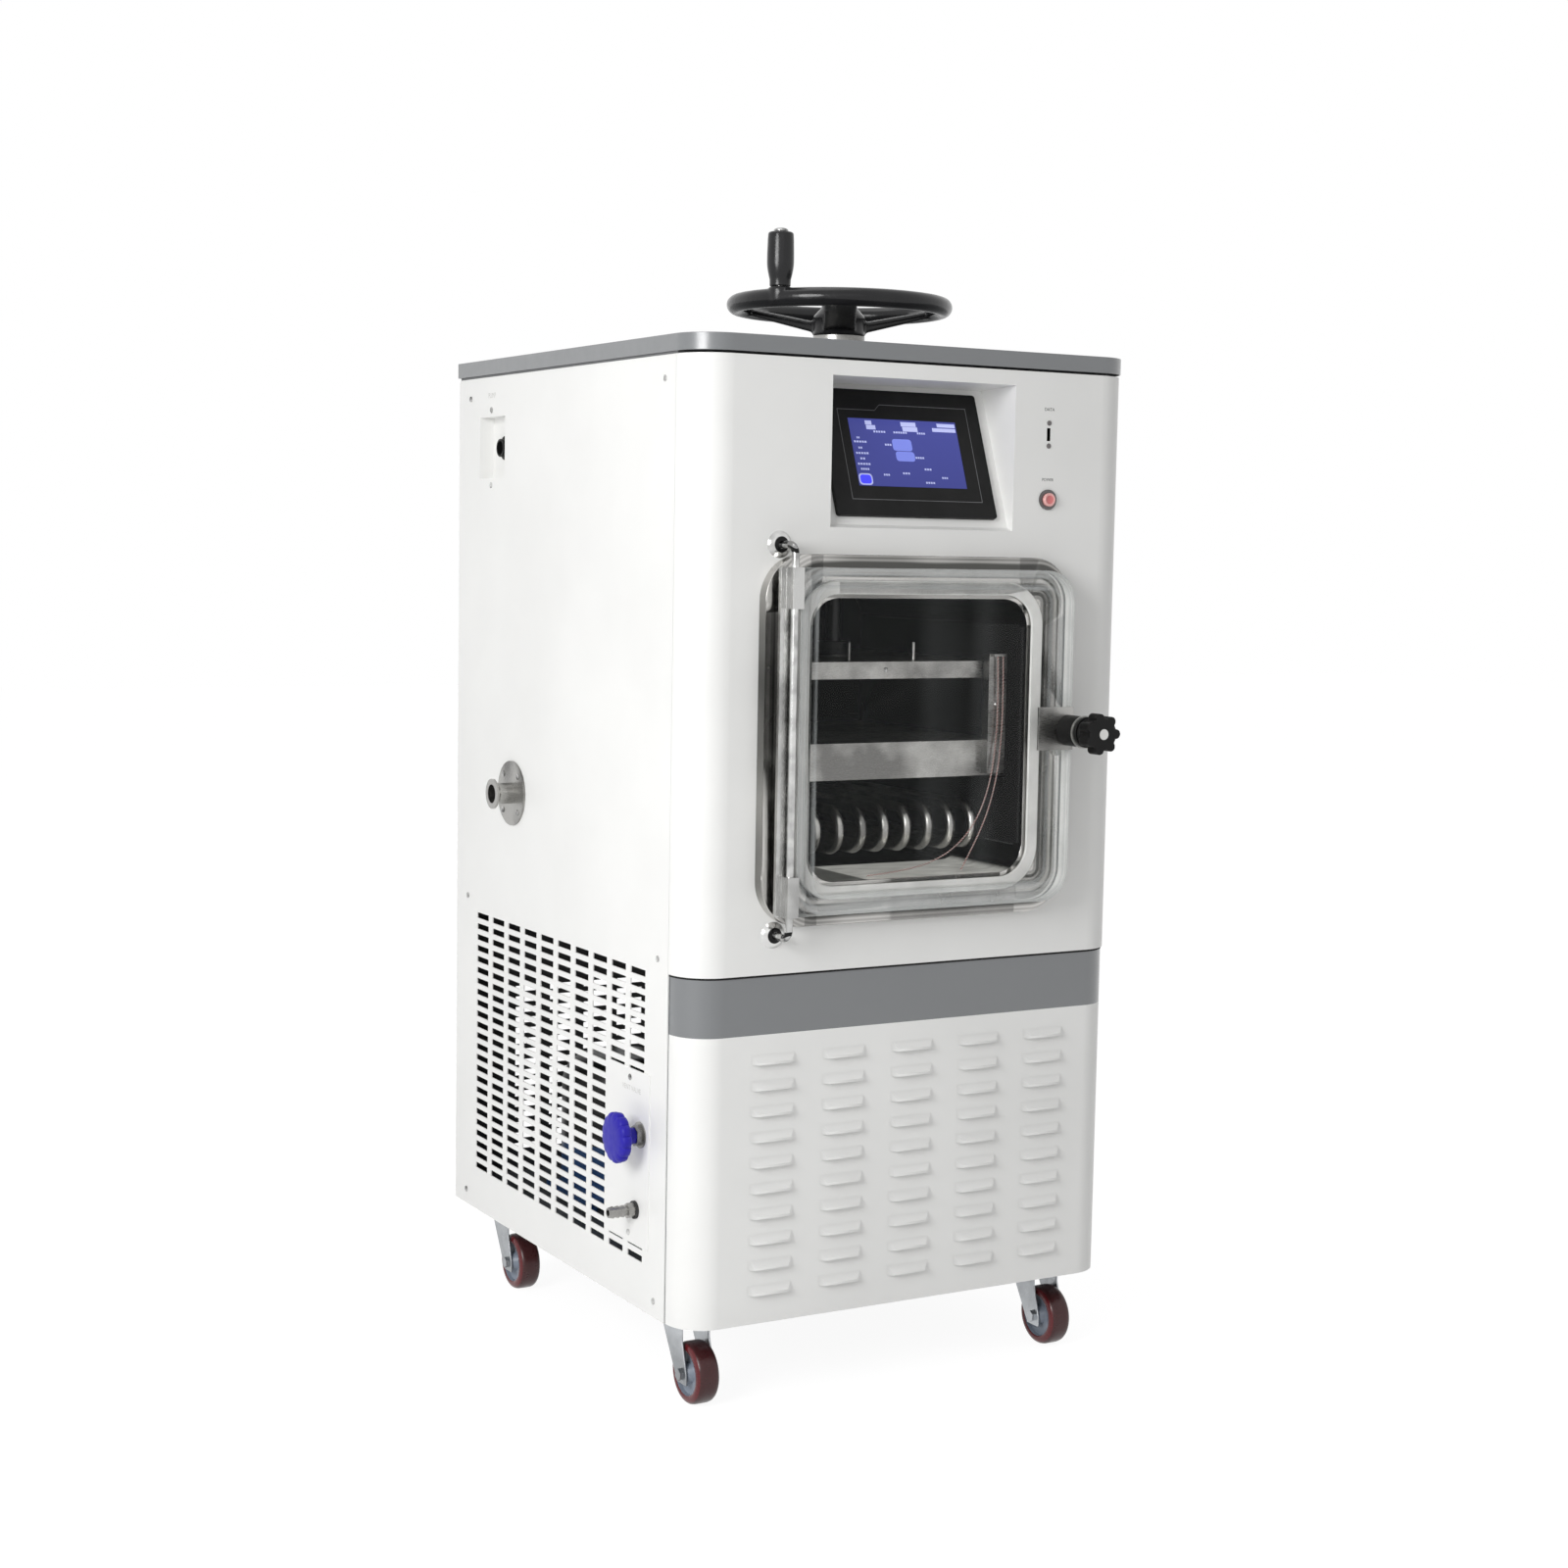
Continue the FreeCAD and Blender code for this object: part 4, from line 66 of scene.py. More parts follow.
# the mesh that an object's modifiers make, in place of the object
def takeMesh(thing):
    graph = bpy.context.evaluated_depsgraph_get()
    mesh = bpy.data.meshes.new_from_object(thing.evaluated_get(graph))
    bpy.data.objects.remove(thing)
    return mesh


# camera
cameraSettings = {
    "place": (-1.6142, -2.8315, 1.0348),
    "turn": 29.707,  # degrees to the right of +Y
    "tilt": 5.43,  # degrees below level
    "roll": 1.029,
    "lens": 57.18,
    "reach": 50,  # metres
}


def makeCamera(values):
    turn, tilt, roll = (math.radians(values[key]) for key in ("turn", "tilt", "roll"))
    forward = Vector((math.sin(turn) * math.cos(tilt), math.cos(turn) * math.cos(tilt), -math.sin(tilt)))
    level = Vector((math.cos(turn), -math.sin(turn), 0))
    up = level.cross(forward)
    right = level * math.cos(roll) + up * math.sin(roll)
    top = right.cross(forward)
    data = bpy.data.cameras.new("camera")
    data.lens = values["lens"]
    data.clip_end = values["reach"]
    camera = newObject("camera", data)
    camera.matrix_world = axesAt(values["place"], right, top, -forward)
    bpy.context.scene.camera = camera


makeCamera(cameraSettings)
bpy.context.scene.view_settings.view_transform = "Standard"
print("camera ready")

# light, floor and background
lightSettings = {
    "world": 0.42,
    "leftLamp": {"place": (-2.6, -1.5, 1.6), "aim": (0, 0, 0.7), "size": 1.4, "power": 55},
    "frontLamp": {"place": (-1.6, -4.2, 2.4), "aim": (0, 0, 0.7), "size": 2.6, "power": 4},
    "topLamp": {"place": (-0.6, 0.4, 4.2), "aim": (0, 0, 0.7), "size": 2.4, "power": 20},
    "floorReach": 14,  # metres each way
    "floorColour": 0.93,
    "floorGlow": 0.8,  # how much of the floor's look is plain white rather than lit
    "floorWhite": 1.155,  # how bright that white is, so that the lit floor beyond the shadow is white too
}


def addNode(tree, kind, values=None, **settings):
    node = tree.nodes.new(kind)
    for key, value in settings.items():
        setattr(node, key, value)
    for key, value in (values or {}).items():
        if isinstance(value, bpy.types.NodeSocket):
            tree.links.new(value, node.inputs[key])
        else:
            node.inputs[key].default_value = value
    return node


def reckon(tree, first, second, operation="MULTIPLY"):
    return addNode(tree, "ShaderNodeMath", {0: first, 1: second}, operation=operation).outputs[0]


# one for the rays that show the background and the floor as plain white
def plainView(tree):
    path = addNode(tree, "ShaderNodeLightPath").outputs
    first = reckon(tree, path["Is Camera Ray"], path["Is Glossy Ray"], "MAXIMUM")
    return reckon(tree, first, path["Is Transmission Ray"], "MAXIMUM")


def makeWorld(values):
    world = bpy.data.worlds.new("studio")
    world.use_nodes = True
    tree = world.node_tree
    tree.nodes.clear()
    seen = addNode(tree, "ShaderNodeBackground", {"Color": (1, 1, 1, 1), "Strength": 1.0})
    lit = addNode(tree, "ShaderNodeBackground", {"Color": (1, 1, 1, 1), "Strength": values["world"]})
    mix = addNode(tree, "ShaderNodeMixShader", {0: plainView(tree), 1: lit.outputs[0], 2: seen.outputs[0]})
    addNode(tree, "ShaderNodeOutputWorld", {"Surface": mix.outputs[0]})
    bpy.context.scene.world = world


def emptyMaterial(name):
    material = bpy.data.materials.new(name)
    material.use_nodes = True
    material.node_tree.nodes.clear()
    return material, material.node_tree


def makeFloor(values):
    mesh = bpy.data.meshes.new("floor")
    far = values["floorReach"]
    mesh.from_pydata([(-far, -far, 0), (far, -far, 0), (far, far, 0), (-far, far, 0)], [], [(0, 1, 2, 3)])
    floor = newObject("floor", mesh)
    material, tree = emptyMaterial("pale floor")
    shade = values["floorColour"]
    matt = addNode(tree, "ShaderNodeBsdfDiffuse", {"Color": (shade, shade, shade, 1)})
    glow = addNode(tree, "ShaderNodeEmission", {"Color": (1, 1, 1, 1), "Strength": values["floorWhite"]})
    share = reckon(tree, plainView(tree), values["floorGlow"])
    mix = addNode(tree, "ShaderNodeMixShader", {0: share, 1: matt.outputs[0], 2: glow.outputs[0]})
    addNode(tree, "ShaderNodeOutputMaterial", {"Surface": mix.outputs[0]})
    mesh.materials.append(material)


def makeLamp(name, values):
    data = bpy.data.lights.new(name, "AREA")
    data.shape = "DISK"
    data.size = values["size"]
    data.energy = values["power"]
    lamp = newObject(name, data)
    aim = Vector(values["aim"]) - Vector(values["place"])
    turn = aim.to_track_quat("-Z", "Y").to_matrix().to_4x4()
    lamp.matrix_world = Matrix.Translation(values["place"]) @ turn


makeWorld(lightSettings)
makeFloor(lightSettings)
for lampName in ("leftLamp", "frontLamp", "topLamp"):
    makeLamp(lampName, lightSettings[lampName])
print("studio ready")

# finishes
def startFinish(name, colour, roughness, metallic=0.0, **sockets):
    material, tree = emptyMaterial(name)
    shader = addNode(tree, "ShaderNodeBsdfPrincipled", {"Base Color": (*colour, 1), "Roughness": roughness,
                                                       "Metallic": metallic})
    for key, value in sockets.items():
        shader.inputs[key.replace("_", " ")].default_value = value
    addNode(tree, "ShaderNodeOutputMaterial", {"Surface": shader.outputs[0]})
    return material, tree, shader


def objectPlace(tree):
    return addNode(tree, "ShaderNodeTexCoord").outputs["Object"]


def noiseAt(tree, scale, stretch=(1, 1, 1), detail=3.0):
    place = addNode(tree, "ShaderNodeMapping", {"Vector": objectPlace(tree), "Scale": stretch}).outputs[0]
    return addNode(tree, "ShaderNodeTexNoise", {"Vector": place, "Scale": scale, "Detail": detail}).outputs[0]


def spread(tree, value, low, high, start=0.3, end=0.7):
    return addNode(tree, "ShaderNodeMapRange", {"Value": value, "From Min": start, "From Max": end,
                                                "To Min": low, "To Max": high}).outputs[0]


def twoShades(tree, shader, factor, first, second):
    mix = addNode(tree, "ShaderNodeMix", {0: factor, 6: (*first, 1), 7: (*second, 1)}, data_type="RGBA")
    tree.links.new(mix.outputs[2], shader.inputs["Base Color"])
    return mix.outputs[2]


def emboss(tree, shader, height, strength, distance=0.0004):
    bump = addNode(tree, "ShaderNodeBump", {"Height": height, "Strength": strength, "Distance": distance})
    tree.links.new(bump.outputs[0], shader.inputs["Normal"])


def placeParts(tree):
    return addNode(tree, "ShaderNodeSeparateXYZ", {0: objectPlace(tree)}).outputs


def vectorMath(tree, operation, *values, output=0):
    return addNode(tree, "ShaderNodeVectorMath", dict(enumerate(values)), operation=operation).outputs[output]


def distanceFrom(tree, centre, across):
    aside = vectorMath(tree, "SUBTRACT", objectPlace(tree), centre)
    return vectorMath(tree, "LENGTH", vectorMath(tree, "MULTIPLY", aside, across), output="Value")


def lineNoise(tree, value, scale):
    return addNode(tree, "ShaderNodeTexNoise", {"W": value, "Scale": scale, "Detail": 1.0},
                   noise_dimensions="1D").outputs[0]


def roughen(tree, shader, value, low, high, *ends):
    tree.links.new(spread(tree, value, low, high, *ends), shader.inputs["Roughness"])


# lays another colour over a finish's own, by a share from 0 to 1
def paintOver(material, share, colour):
    tree = material.node_tree
    paint = next(node for node in tree.nodes if node.type == "BSDF_PRINCIPLED").inputs["Base Color"]
    mix = addNode(tree, "ShaderNodeMix", {0: share, 6: paint.links[0].from_socket, 7: (*colour, 1)},
                  data_type="RGBA")
    tree.links.new(mix.outputs[2], paint)
    return material


# how deep a point lies inside the rounded outline of a node's front, in metres
def rimDepth(tree, node, radius):
    low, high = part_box(node)
    size = (high - low) / 2 - Vector((radius, 0, radius))
    flat = vectorMath(tree, "SUBTRACT", objectPlace(tree), (high + low) / 2)
    flat = vectorMath(tree, "SUBTRACT", vectorMath(tree, "ABSOLUTE", flat), size)
    flat = vectorMath(tree, "MULTIPLY", flat, (1, 0, 1))
    parts = addNode(tree, "ShaderNodeSeparateXYZ", {0: flat}).outputs
    corner = vectorMath(tree, "LENGTH", vectorMath(tree, "MAXIMUM", flat, (0, 0, 0)), output="Value")
    inner = reckon(tree, reckon(tree, parts["X"], parts["Z"], "MAXIMUM"), 0.0, "MINIMUM")
    return reckon(tree, radius, reckon(tree, corner, inner, "ADD"), "SUBTRACT")


# painted reflections: light and dark bands that follow the rim, broken up along it by slow noise
rimReflectionSettings = {"slow": 7, "broken": 0.35, "ends": (0.575, 0.775)}
doorRound = 40 * mm  # the rounding of the door's corners


def rimReflectionBands(tree, node, radius, scale, values=rimReflectionSettings):
    bands = lineNoise(tree, rimDepth(tree, node, radius), scale)
    along = reckon(tree, noiseAt(tree, values["slow"], detail=1.0), values["broken"])
    return spread(tree, reckon(tree, bands, along, "ADD"), 0, 1, *values["ends"])


def powderCoat(name, colour, roughness=0.42, coat=0.12, **sockets):
    material, tree, shader = startFinish(name, colour, roughness, Coat_Weight=coat, Coat_Roughness=0.25,
                                         **sockets)
    darker, paler = [value * 0.965 for value in colour], [min(1, value * 1.02) for value in colour]
    twoShades(tree, shader, spread(tree, noiseAt(tree, 5), 0, 1), darker, paler)
    roughen(tree, shader, noiseAt(tree, 60), roughness - 0.04, roughness + 0.06)
    emboss(tree, shader, noiseAt(tree, 1400, detail=1.5), 0.05)
    return material


# sheet paint whose inner faces, those turned towards the middle of the cabinet, are painted dark as the shade
# inside the cabinet
def panelCoatShadedInside(name, colour, inner, across):
    material = powderCoat(name, colour)
    tree = material.node_tree
    outward = vectorMath(tree, "SUBTRACT", objectPlace(tree), boxCentre("chassis"))
    outward = vectorMath(tree, "MULTIPLY", outward, across)
    facing = addNode(tree, "ShaderNodeNewGeometry").outputs["True Normal"]
    facing = vectorMath(tree, "DOT_PRODUCT", outward, facing, output="Value")
    return paintOver(material, reckon(tree, facing, -0.15, "LESS_THAN"), inner)


def brushedMetal(name, colour, roughness=0.28, grain=(1, 1, 40), strength=0.06, depth=0.82, patch=14):
    material, tree, shader = startFinish(name, colour, roughness, 1.0)
    lines = noiseAt(tree, 90, grain, 5.0)
    darker = [value * depth for value in colour]
    twoShades(tree, shader, spread(tree, noiseAt(tree, patch), 0, 1, 0.4, 0.6), darker, colour)
    roughen(tree, shader, lines, roughness - 0.07, roughness + 0.12)
    emboss(tree, shader, lines, strength)
    return material


def mouldedPlastic(name, colour, roughness=0.35, grain=700, strength=0.08, **sockets):
    material, tree, shader = startFinish(name, colour, roughness, **sockets)
    paler = [value * 1.25 + 0.004 for value in colour]
    twoShades(tree, shader, spread(tree, noiseAt(tree, 22), 0, 1), colour, paler)
    roughen(tree, shader, noiseAt(tree, 120), roughness - 0.06, roughness + 0.08)
    emboss(tree, shader, noiseAt(tree, grain), strength)
    return material


# clear sheet: mostly see-through, with a faint haze in upright streaks, and painted reflection bands along
# its rim
clearSettings = {"rim": 26 * mm, "bands": 210, "bandShare": 0.3, "streaks": 16, "streakShare": 3.5}


def clearPlastic(name, colour, haze, values=clearSettings):
    material, tree, shader = startFinish(name, colour, 0.04, Specular_IOR_Level=0.6)
    rim = reckon(tree, rimDepth(tree, "door_panel", doorRound), values["rim"], "LESS_THAN")
    bands = reckon(tree, rim, rimReflectionBands(tree, "door_panel", doorRound, values["bands"]))
    across = lineNoise(tree, placeParts(tree)["X"], values["streaks"])
    clear = spread(tree, across, haze, haze * values["streakShare"], 0.55, 0.75)
    clear = reckon(tree, clear, reckon(tree, bands, values["bandShare"]), "ADD")
    tree.links.new(clear, shader.inputs["Alpha"])
    roughen(tree, shader, noiseAt(tree, 30), 0.03, 0.07, 0.55, 0.8)
    return material


# polished steel with painted reflections: light and dark bands that follow the rim of a node's front
def reflectionBandedMetal(name, dark, light, node, radius, scale, roughness=0.2):
    material, tree, shader = startFinish(name, light, roughness, 1.0)
    twoShades(tree, shader, rimReflectionBands(tree, node, radius, scale), dark, light)
    roughen(tree, shader, noiseAt(tree, 40), roughness - 0.06, roughness + 0.08)
    return material


# a lit finish of the display, a little brighter towards its top
def litGlass(name, glow):
    dim = [value * 0.3 for value in glow]
    material, tree, shader = startFinish(name, dim, 0.12, Emission_Strength=1.0, Specular_IOR_Level=0.1)
    low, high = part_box("screen_glass")
    height = spread(tree, placeParts(tree)["Z"], 0, 1, low.z, high.z)
    colour = twoShades(tree, shader, height, glow, [value * 1.25 for value in glow])
    tree.links.new(colour, shader.inputs["Emission Color"])
    return material


# the chamber's inside is painted nearly black for the shade in it, apart from a painted pool of light on the
# front of its floor, which is dimmer at the left
insideShadeAndLightSettings = {
    "dark": (0.012, 0.012, 0.012),
    "lit": (0.5, 0.49, 0.46),
    "floor": (30 * mm, 34 * mm),  # from the jacket's underside, where the light ends
    "deep": (130 * mm, 132 * mm),  # from the gasket's back
    "left": (110 * mm, 113 * mm),  # from the jacket's left side, where the dim part ends
    "dimShare": 0.22,
    "glow": (0.16, 0.34),
    "blue": 0.93,  # the glow's share of blue
}


def paintChamberShadeAndLight(name, values=insideShadeAndLightSettings):
    material, tree, shader = startFinish(name, values["dark"], 0.3, 0.9, Emission_Strength=1.0)
    place = placeParts(tree)
    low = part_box("chamber_jacket")[0]
    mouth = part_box("door_gasket")[1].y
    onFloor = spread(tree, place["Z"], 1, 0, *[low.z + far for far in values["floor"]])
    inFront = spread(tree, place["Y"], 1, 0, *[mouth + far for far in values["deep"]])
    across = spread(tree, place["X"], values["dimShare"], 1, *[low.x + far for far in values["left"]])
    lit = reckon(tree, reckon(tree, onFloor, inFront), across)
    twoShades(tree, shader, lit, values["dark"], values["lit"])
    # the painted pool of light also glows a little, bluish
    glow = reckon(tree, lit, spread(tree, noiseAt(tree, 22, (1, 4, 1)), *values["glow"]))
    glow = addNode(tree, "ShaderNodeCombineColor", {0: glow, 1: glow, 2: reckon(tree, glow, values["blue"])})
    tree.links.new(glow.outputs[0], shader.inputs["Emission Color"])
    return material


# a finish that turns into a dark one above a level, and within a distance of an upright axis
def darkAbove(material, level, centre, reach, dark):
    tree = material.node_tree
    above = reckon(tree, placeParts(tree)["Z"], level, "GREATER_THAN")
    near = reckon(tree, distanceFrom(tree, centre, (1, 1, 0)), reach, "LESS_THAN")
    return paintOver(material, reckon(tree, above, near), dark)


# painted reflections: dark rings round points of an upright plane, as a polished dome shows
def darkRings(material, centres, inner, outer, dark):
    tree = material.node_tree
    for centre in centres:
        far = distanceFrom(tree, centre, (1, 0, 1))
        ring = reckon(tree, reckon(tree, far, inner, "GREATER_THAN"), reckon(tree, far, outer, "LESS_THAN"))
        paintOver(material, ring, dark)
    return material


# the middles of the hinge rod's two rosettes
rosetteRadius = 16 * mm
hingeLow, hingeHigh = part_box("hinge_rod")
rosettes = [(hingeLow.x + rosetteRadius, 0, z)
            for z in (hingeLow.z + rosetteRadius, hingeHigh.z - rosetteRadius)]

panelWhite = (0.84, 0.84, 0.825)
# stainless and press steel: blotches of a much darker shade, painted reflections of a dark room
steelLook = ((0.40, 0.395, 0.38), 0.27, (1, 30, 30), 0.05, 0.45)
plateTop, rodShade = 21.5 * mm, 24 * mm  # the press plate's level and the reach where its boss is in shade
compressorBlue = 90 * mm  # how far up the compressor is blue

# each finish's name and colour, then its roughness and grain
finishes = {
    "whitePaint": powderCoat("white powder coat", panelWhite),
    # the side and rear panels' inner faces carry painted shade
    "sidePaint": panelCoatShadedInside("side panel coat", panelWhite, (0.05, 0.05, 0.05), (1, 0, 0)),
    "rearPaint": panelCoatShadedInside("rear panel coat", panelWhite, (0.05, 0.05, 0.05), (0, 1, 0)),
    "greyPaint": powderCoat("grey powder coat", (0.155, 0.163, 0.17), 0.36, 0.8, Specular_IOR_Level=0.8),
    "framePaint": powderCoat("frame paint", (0.16, 0.165, 0.17), 0.55),
    "stainless": brushedMetal("brushed stainless", *steelLook),
    # the flange's light and dark bands are painted reflections
    "flange": reflectionBandedMetal("polished flange", (0.09, 0.09, 0.085), (0.55, 0.54, 0.52), "door_panel", doorRound,
                          120),
    # bright steel: its much darker blotches are painted reflections
    "bright": brushedMetal("bright steel", (0.66, 0.66, 0.65), 0.14, (1, 30, 1), 0.02, 0.2, 60),
    "pressSteel": darkAbove(brushedMetal("press steel", *steelLook),
                            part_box("press_plate")[0].z + plateTop, boxCentre("press_rod"), rodShade,
                            (0.015, 0.015, 0.015)),
    "rodSteel": brushedMetal("rod steel", (0.03, 0.03, 0.03), 0.3),
    "capMetal": brushedMetal("cap metal", (0.62, 0.62, 0.60), 0.34, (6, 6, 6), 0.02, 0.9),
    # the hinge rod's dark blotches and the dark rings on its rosettes are painted reflections
    "hingeRod": darkRings(
        brushedMetal("hinge rod steel", (0.66, 0.66, 0.65), 0.16, (30, 30, 1), 0.02, 0.5, 25),
        rosettes, 4.5 * mm, 9.5 * mm, (0.02, 0.02, 0.02)),
    "hingeSteel": brushedMetal("hinge steel", (0.56, 0.56, 0.55), 0.2, (30, 30, 1), 0.03, 0.6),
    "zinc": brushedMetal("zinc plate", (0.50, 0.52, 0.54), 0.33, (4, 4, 4), 0.10, 0.6),
    "aluminium": brushedMetal("fin aluminium", (0.55, 0.56, 0.57), 0.40),
    "blackGloss": mouldedPlastic("black gloss", (0.008, 0.008, 0.009), 0.2, 260, 0.03,
                                 Specular_IOR_Level=0.35),
    "blackMatt": mouldedPlastic("black moulding", (0.007, 0.007, 0.007), 0.42, Specular_IOR_Level=0.15),
    "bluePlastic": mouldedPlastic("blue knob", (0.018, 0.012, 0.30), 0.4, Specular_IOR_Level=0.2),
    "bluePaint": darkAbove(
        powderCoat("blue paint", (0.05, 0.13, 0.34), 0.35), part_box("compressor")[0].z + compressorBlue,
        boxCentre("compressor"), 1.0, (0.012, 0.012, 0.012)),
    "redButton": mouldedPlastic("red button", (0.58, 0.16, 0.16), 0.25),
    "redRim": mouldedPlastic("button rim", (0.72, 0.38, 0.36), 0.3),
    # the button's chrome ring is painted dark for the dark reflection it shows; the data socket's screws
    # share this finish
    "darkRing": brushedMetal("dark ring", (0.16, 0.15, 0.15), 0.3, (6, 6, 6), 0.02),
    "gasket": mouldedPlastic("silicone ring", (0.66, 0.66, 0.64), 0.45, 500, 0.04),
    "rubber": mouldedPlastic("black rubber", (0.02, 0.02, 0.02), 0.7),
    "foam": mouldedPlastic("foam", (0.03, 0.03, 0.03), 0.85, 1200, 0.4),
    "darkPaint": powderCoat("dark paint", (0.03, 0.03, 0.033), 0.4),
    "acrylic": clearPlastic("clear acrylic", (0.60, 0.63, 0.63), 0.012),
    "glass": litGlass("display glass", (0.033, 0.038, 0.158)),
    "screenPale": litGlass("display pale marks", (0.26, 0.28, 0.46)),
    "screenTank": litGlass("display tanks", (0.115, 0.14, 0.42)),
    "screenButton": litGlass("display button", (0.045, 0.045, 0.70)),
    "bezelLine": mouldedPlastic("bezel line", (0.13, 0.135, 0.14), 0.5),
    # painted shade inside the chamber, with a painted pool of light on its floor
    "chamberShadeAndLight": paintChamberShadeAndLight("chamber inside painted shade and light"),
    # the door's cut edges, painted pale as a highlight
    "clearEdge": mouldedPlastic("acrylic edge", (0.62, 0.625, 0.61), 0.12),
    "tread": mouldedPlastic("worn tread", (0.046, 0.010, 0.011), 0.3, 160, 0.2, Specular_IOR_Level=0.4),
    "tyreSide": mouldedPlastic("red polyurethane", (0.105, 0.009, 0.012), 0.24, Specular_IOR_Level=0.4),
    "wheelHub": mouldedPlastic("wheel core", (0.20, 0.23, 0.28), 0.38),
    "ink": mouldedPlastic("dark print", (0.06, 0.06, 0.06), 0.6),
    "faintInk": mouldedPlastic("faint print", (0.52, 0.52, 0.50), 0.6),
    "wireWhite": mouldedPlastic("white strand", (0.55, 0.53, 0.50), 0.5),
    "wireRed": mouldedPlastic("red strand", (0.22, 0.03, 0.02), 0.5),
    # painted shadow in the gap under the front's upper panel
    "shadowGap": mouldedPlastic("shadowGap", (0.015, 0.015, 0.015), 0.7, Specular_IOR_Level=0.1),
}

nodeFinishes = {
    "whitePaint": ["front_upper_panel", "front_lower_panel", "service_plate"],
    "sidePaint": ["left_side_panel", "right_side_panel"],
    "rearPaint": ["rear_panel"],
    "greyPaint": ["top_cover", "grey_band"],
    "framePaint": ["chassis"],
    "stainless": ["shelf", "probe_bracket", "cold_trap_coil", "press_frame", "drain_barb",
                  "latch_bracket", "valve_body", "vacuum_port"],
    "hingeSteel": ["hinge_strip"],
    "flange": ["vacuum_chamber"],
    "bright": ["panel_screws", "handle_spindle"],
    "hingeRod": ["hinge_rod"],
    "capMetal": ["latch_shaft"],
    "rodSteel": ["press_rod"],
    "pressSteel": ["press_plate"],
    "darkRing": ["button_bezel"],
    "zinc": [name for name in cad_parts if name.startswith("caster") and "wheel" not in name],
    "aluminium": ["condenser"],
    "blackGloss": ["handwheel"],
    "blackMatt": ["power_inlet", "screen_housing", "data_socket", "pump_socket", "latch_sleeve", "star_knob",
                  "handle_grip", "cooling_fan"],
    "bluePlastic": ["valve_knob"],
    "bluePaint": ["compressor"],
    "redButton": ["button_cap"],
    "gasket": ["door_gasket"],
    "rubber": ["drain_grommet"],
    "foam": ["chamber_jacket"],
    "darkPaint": ["fan_motor"],
    "acrylic": ["door_panel"],
    "glass": ["screen_glass"],
    "tread": [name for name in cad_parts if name.startswith("caster_wheel")],
}


# gives a mesh these finishes and no others
def dress(mesh, *names):
    if mesh.materials:
        mesh.materials.clear()
    for name in names:
        mesh.materials.append(finishes[name])


for finishName, members in nodeFinishes.items():
    for member in members:
        dress(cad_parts[member].data, finishName)
print("finishes on", sum(len(members) for members in nodeFinishes.values()), "nodes")

# ways of making pieces; kinds are the finishes that the faces' numbers stand for
def newPiece(name, mesh, body, stands=(), kinds=()):
    for kind in kinds:
        mesh.materials.append(finishes[kind])
    piece = newObject(name, mesh)
    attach(piece, body)
    if stands:
        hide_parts(*stands)
    return piece


# how flat an edge is when it goes and how sharp when it is rounded, in degrees, and how near points join
edgeSettings = {"flat": 0.6, "sharp": 35, "steps": 3, "weld": 0.000004, "turnedWeld": 0.000001}


def mergedMesh(node):
    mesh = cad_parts[node].data.copy()
    work = bmesh.new()
    work.from_mesh(mesh)
    bmesh.ops.remove_doubles(work, verts=work.verts, dist=edgeSettings["weld"])
    flat = math.radians(edgeSettings["flat"])
    bmesh.ops.dissolve_limit(work, angle_limit=flat, verts=work.verts, edges=work.edges)
    work.normal_update()
    return work, mesh


def settle(work, mesh, name, sharp=32):
    work.to_mesh(mesh)
    work.free()
    mesh.name = name
    dress(mesh)
    mesh.polygons.foreach_set("use_smooth", [True] * len(mesh.polygons))
    mesh.set_sharp_from_angle(angle=math.radians(sharp))
    return mesh


def weighNormals(piece):
    weigh = piece.modifiers.new("weighted normals", "WEIGHTED_NORMAL")
    weigh.keep_sharp = True
    weigh.weight = 100
    return piece


def easedPiece(name, node, body, kinds, width):
    work, mesh = mergedMesh(node)
    sharp = math.radians(edgeSettings["sharp"])
    edges = [edge for edge in work.edges if len(edge.link_faces) == 2 and edge.calc_face_angle(0) > sharp]
    bmesh.ops.bevel(work, geom=edges, offset=width, segments=edgeSettings["steps"], profile=0.5,
                    affect="EDGES", clamp_overlap=True)
    return weighNormals(newPiece(name, settle(work, mesh, name), body, [node], kinds))


def castPiece(name, node, body, finish, grain, rounds):
    work, mesh = mergedMesh(node)
    work.to_mesh(mesh)
    work.free()
    rough = newObject("rough", mesh)
    melt = rough.modifiers.new("melt", "REMESH")
    melt.mode = "VOXEL"
    melt.voxel_size = grain
    ease = rough.modifiers.new("ease", "SMOOTH")
    ease.factor = 0.5
    ease.iterations = rounds
    smooth = takeMesh(rough)
    dress(smooth, finish)
    smooth.polygons.foreach_set("use_smooth", [True] * len(smooth.polygons))
    return newPiece(name, smooth, body, [node])


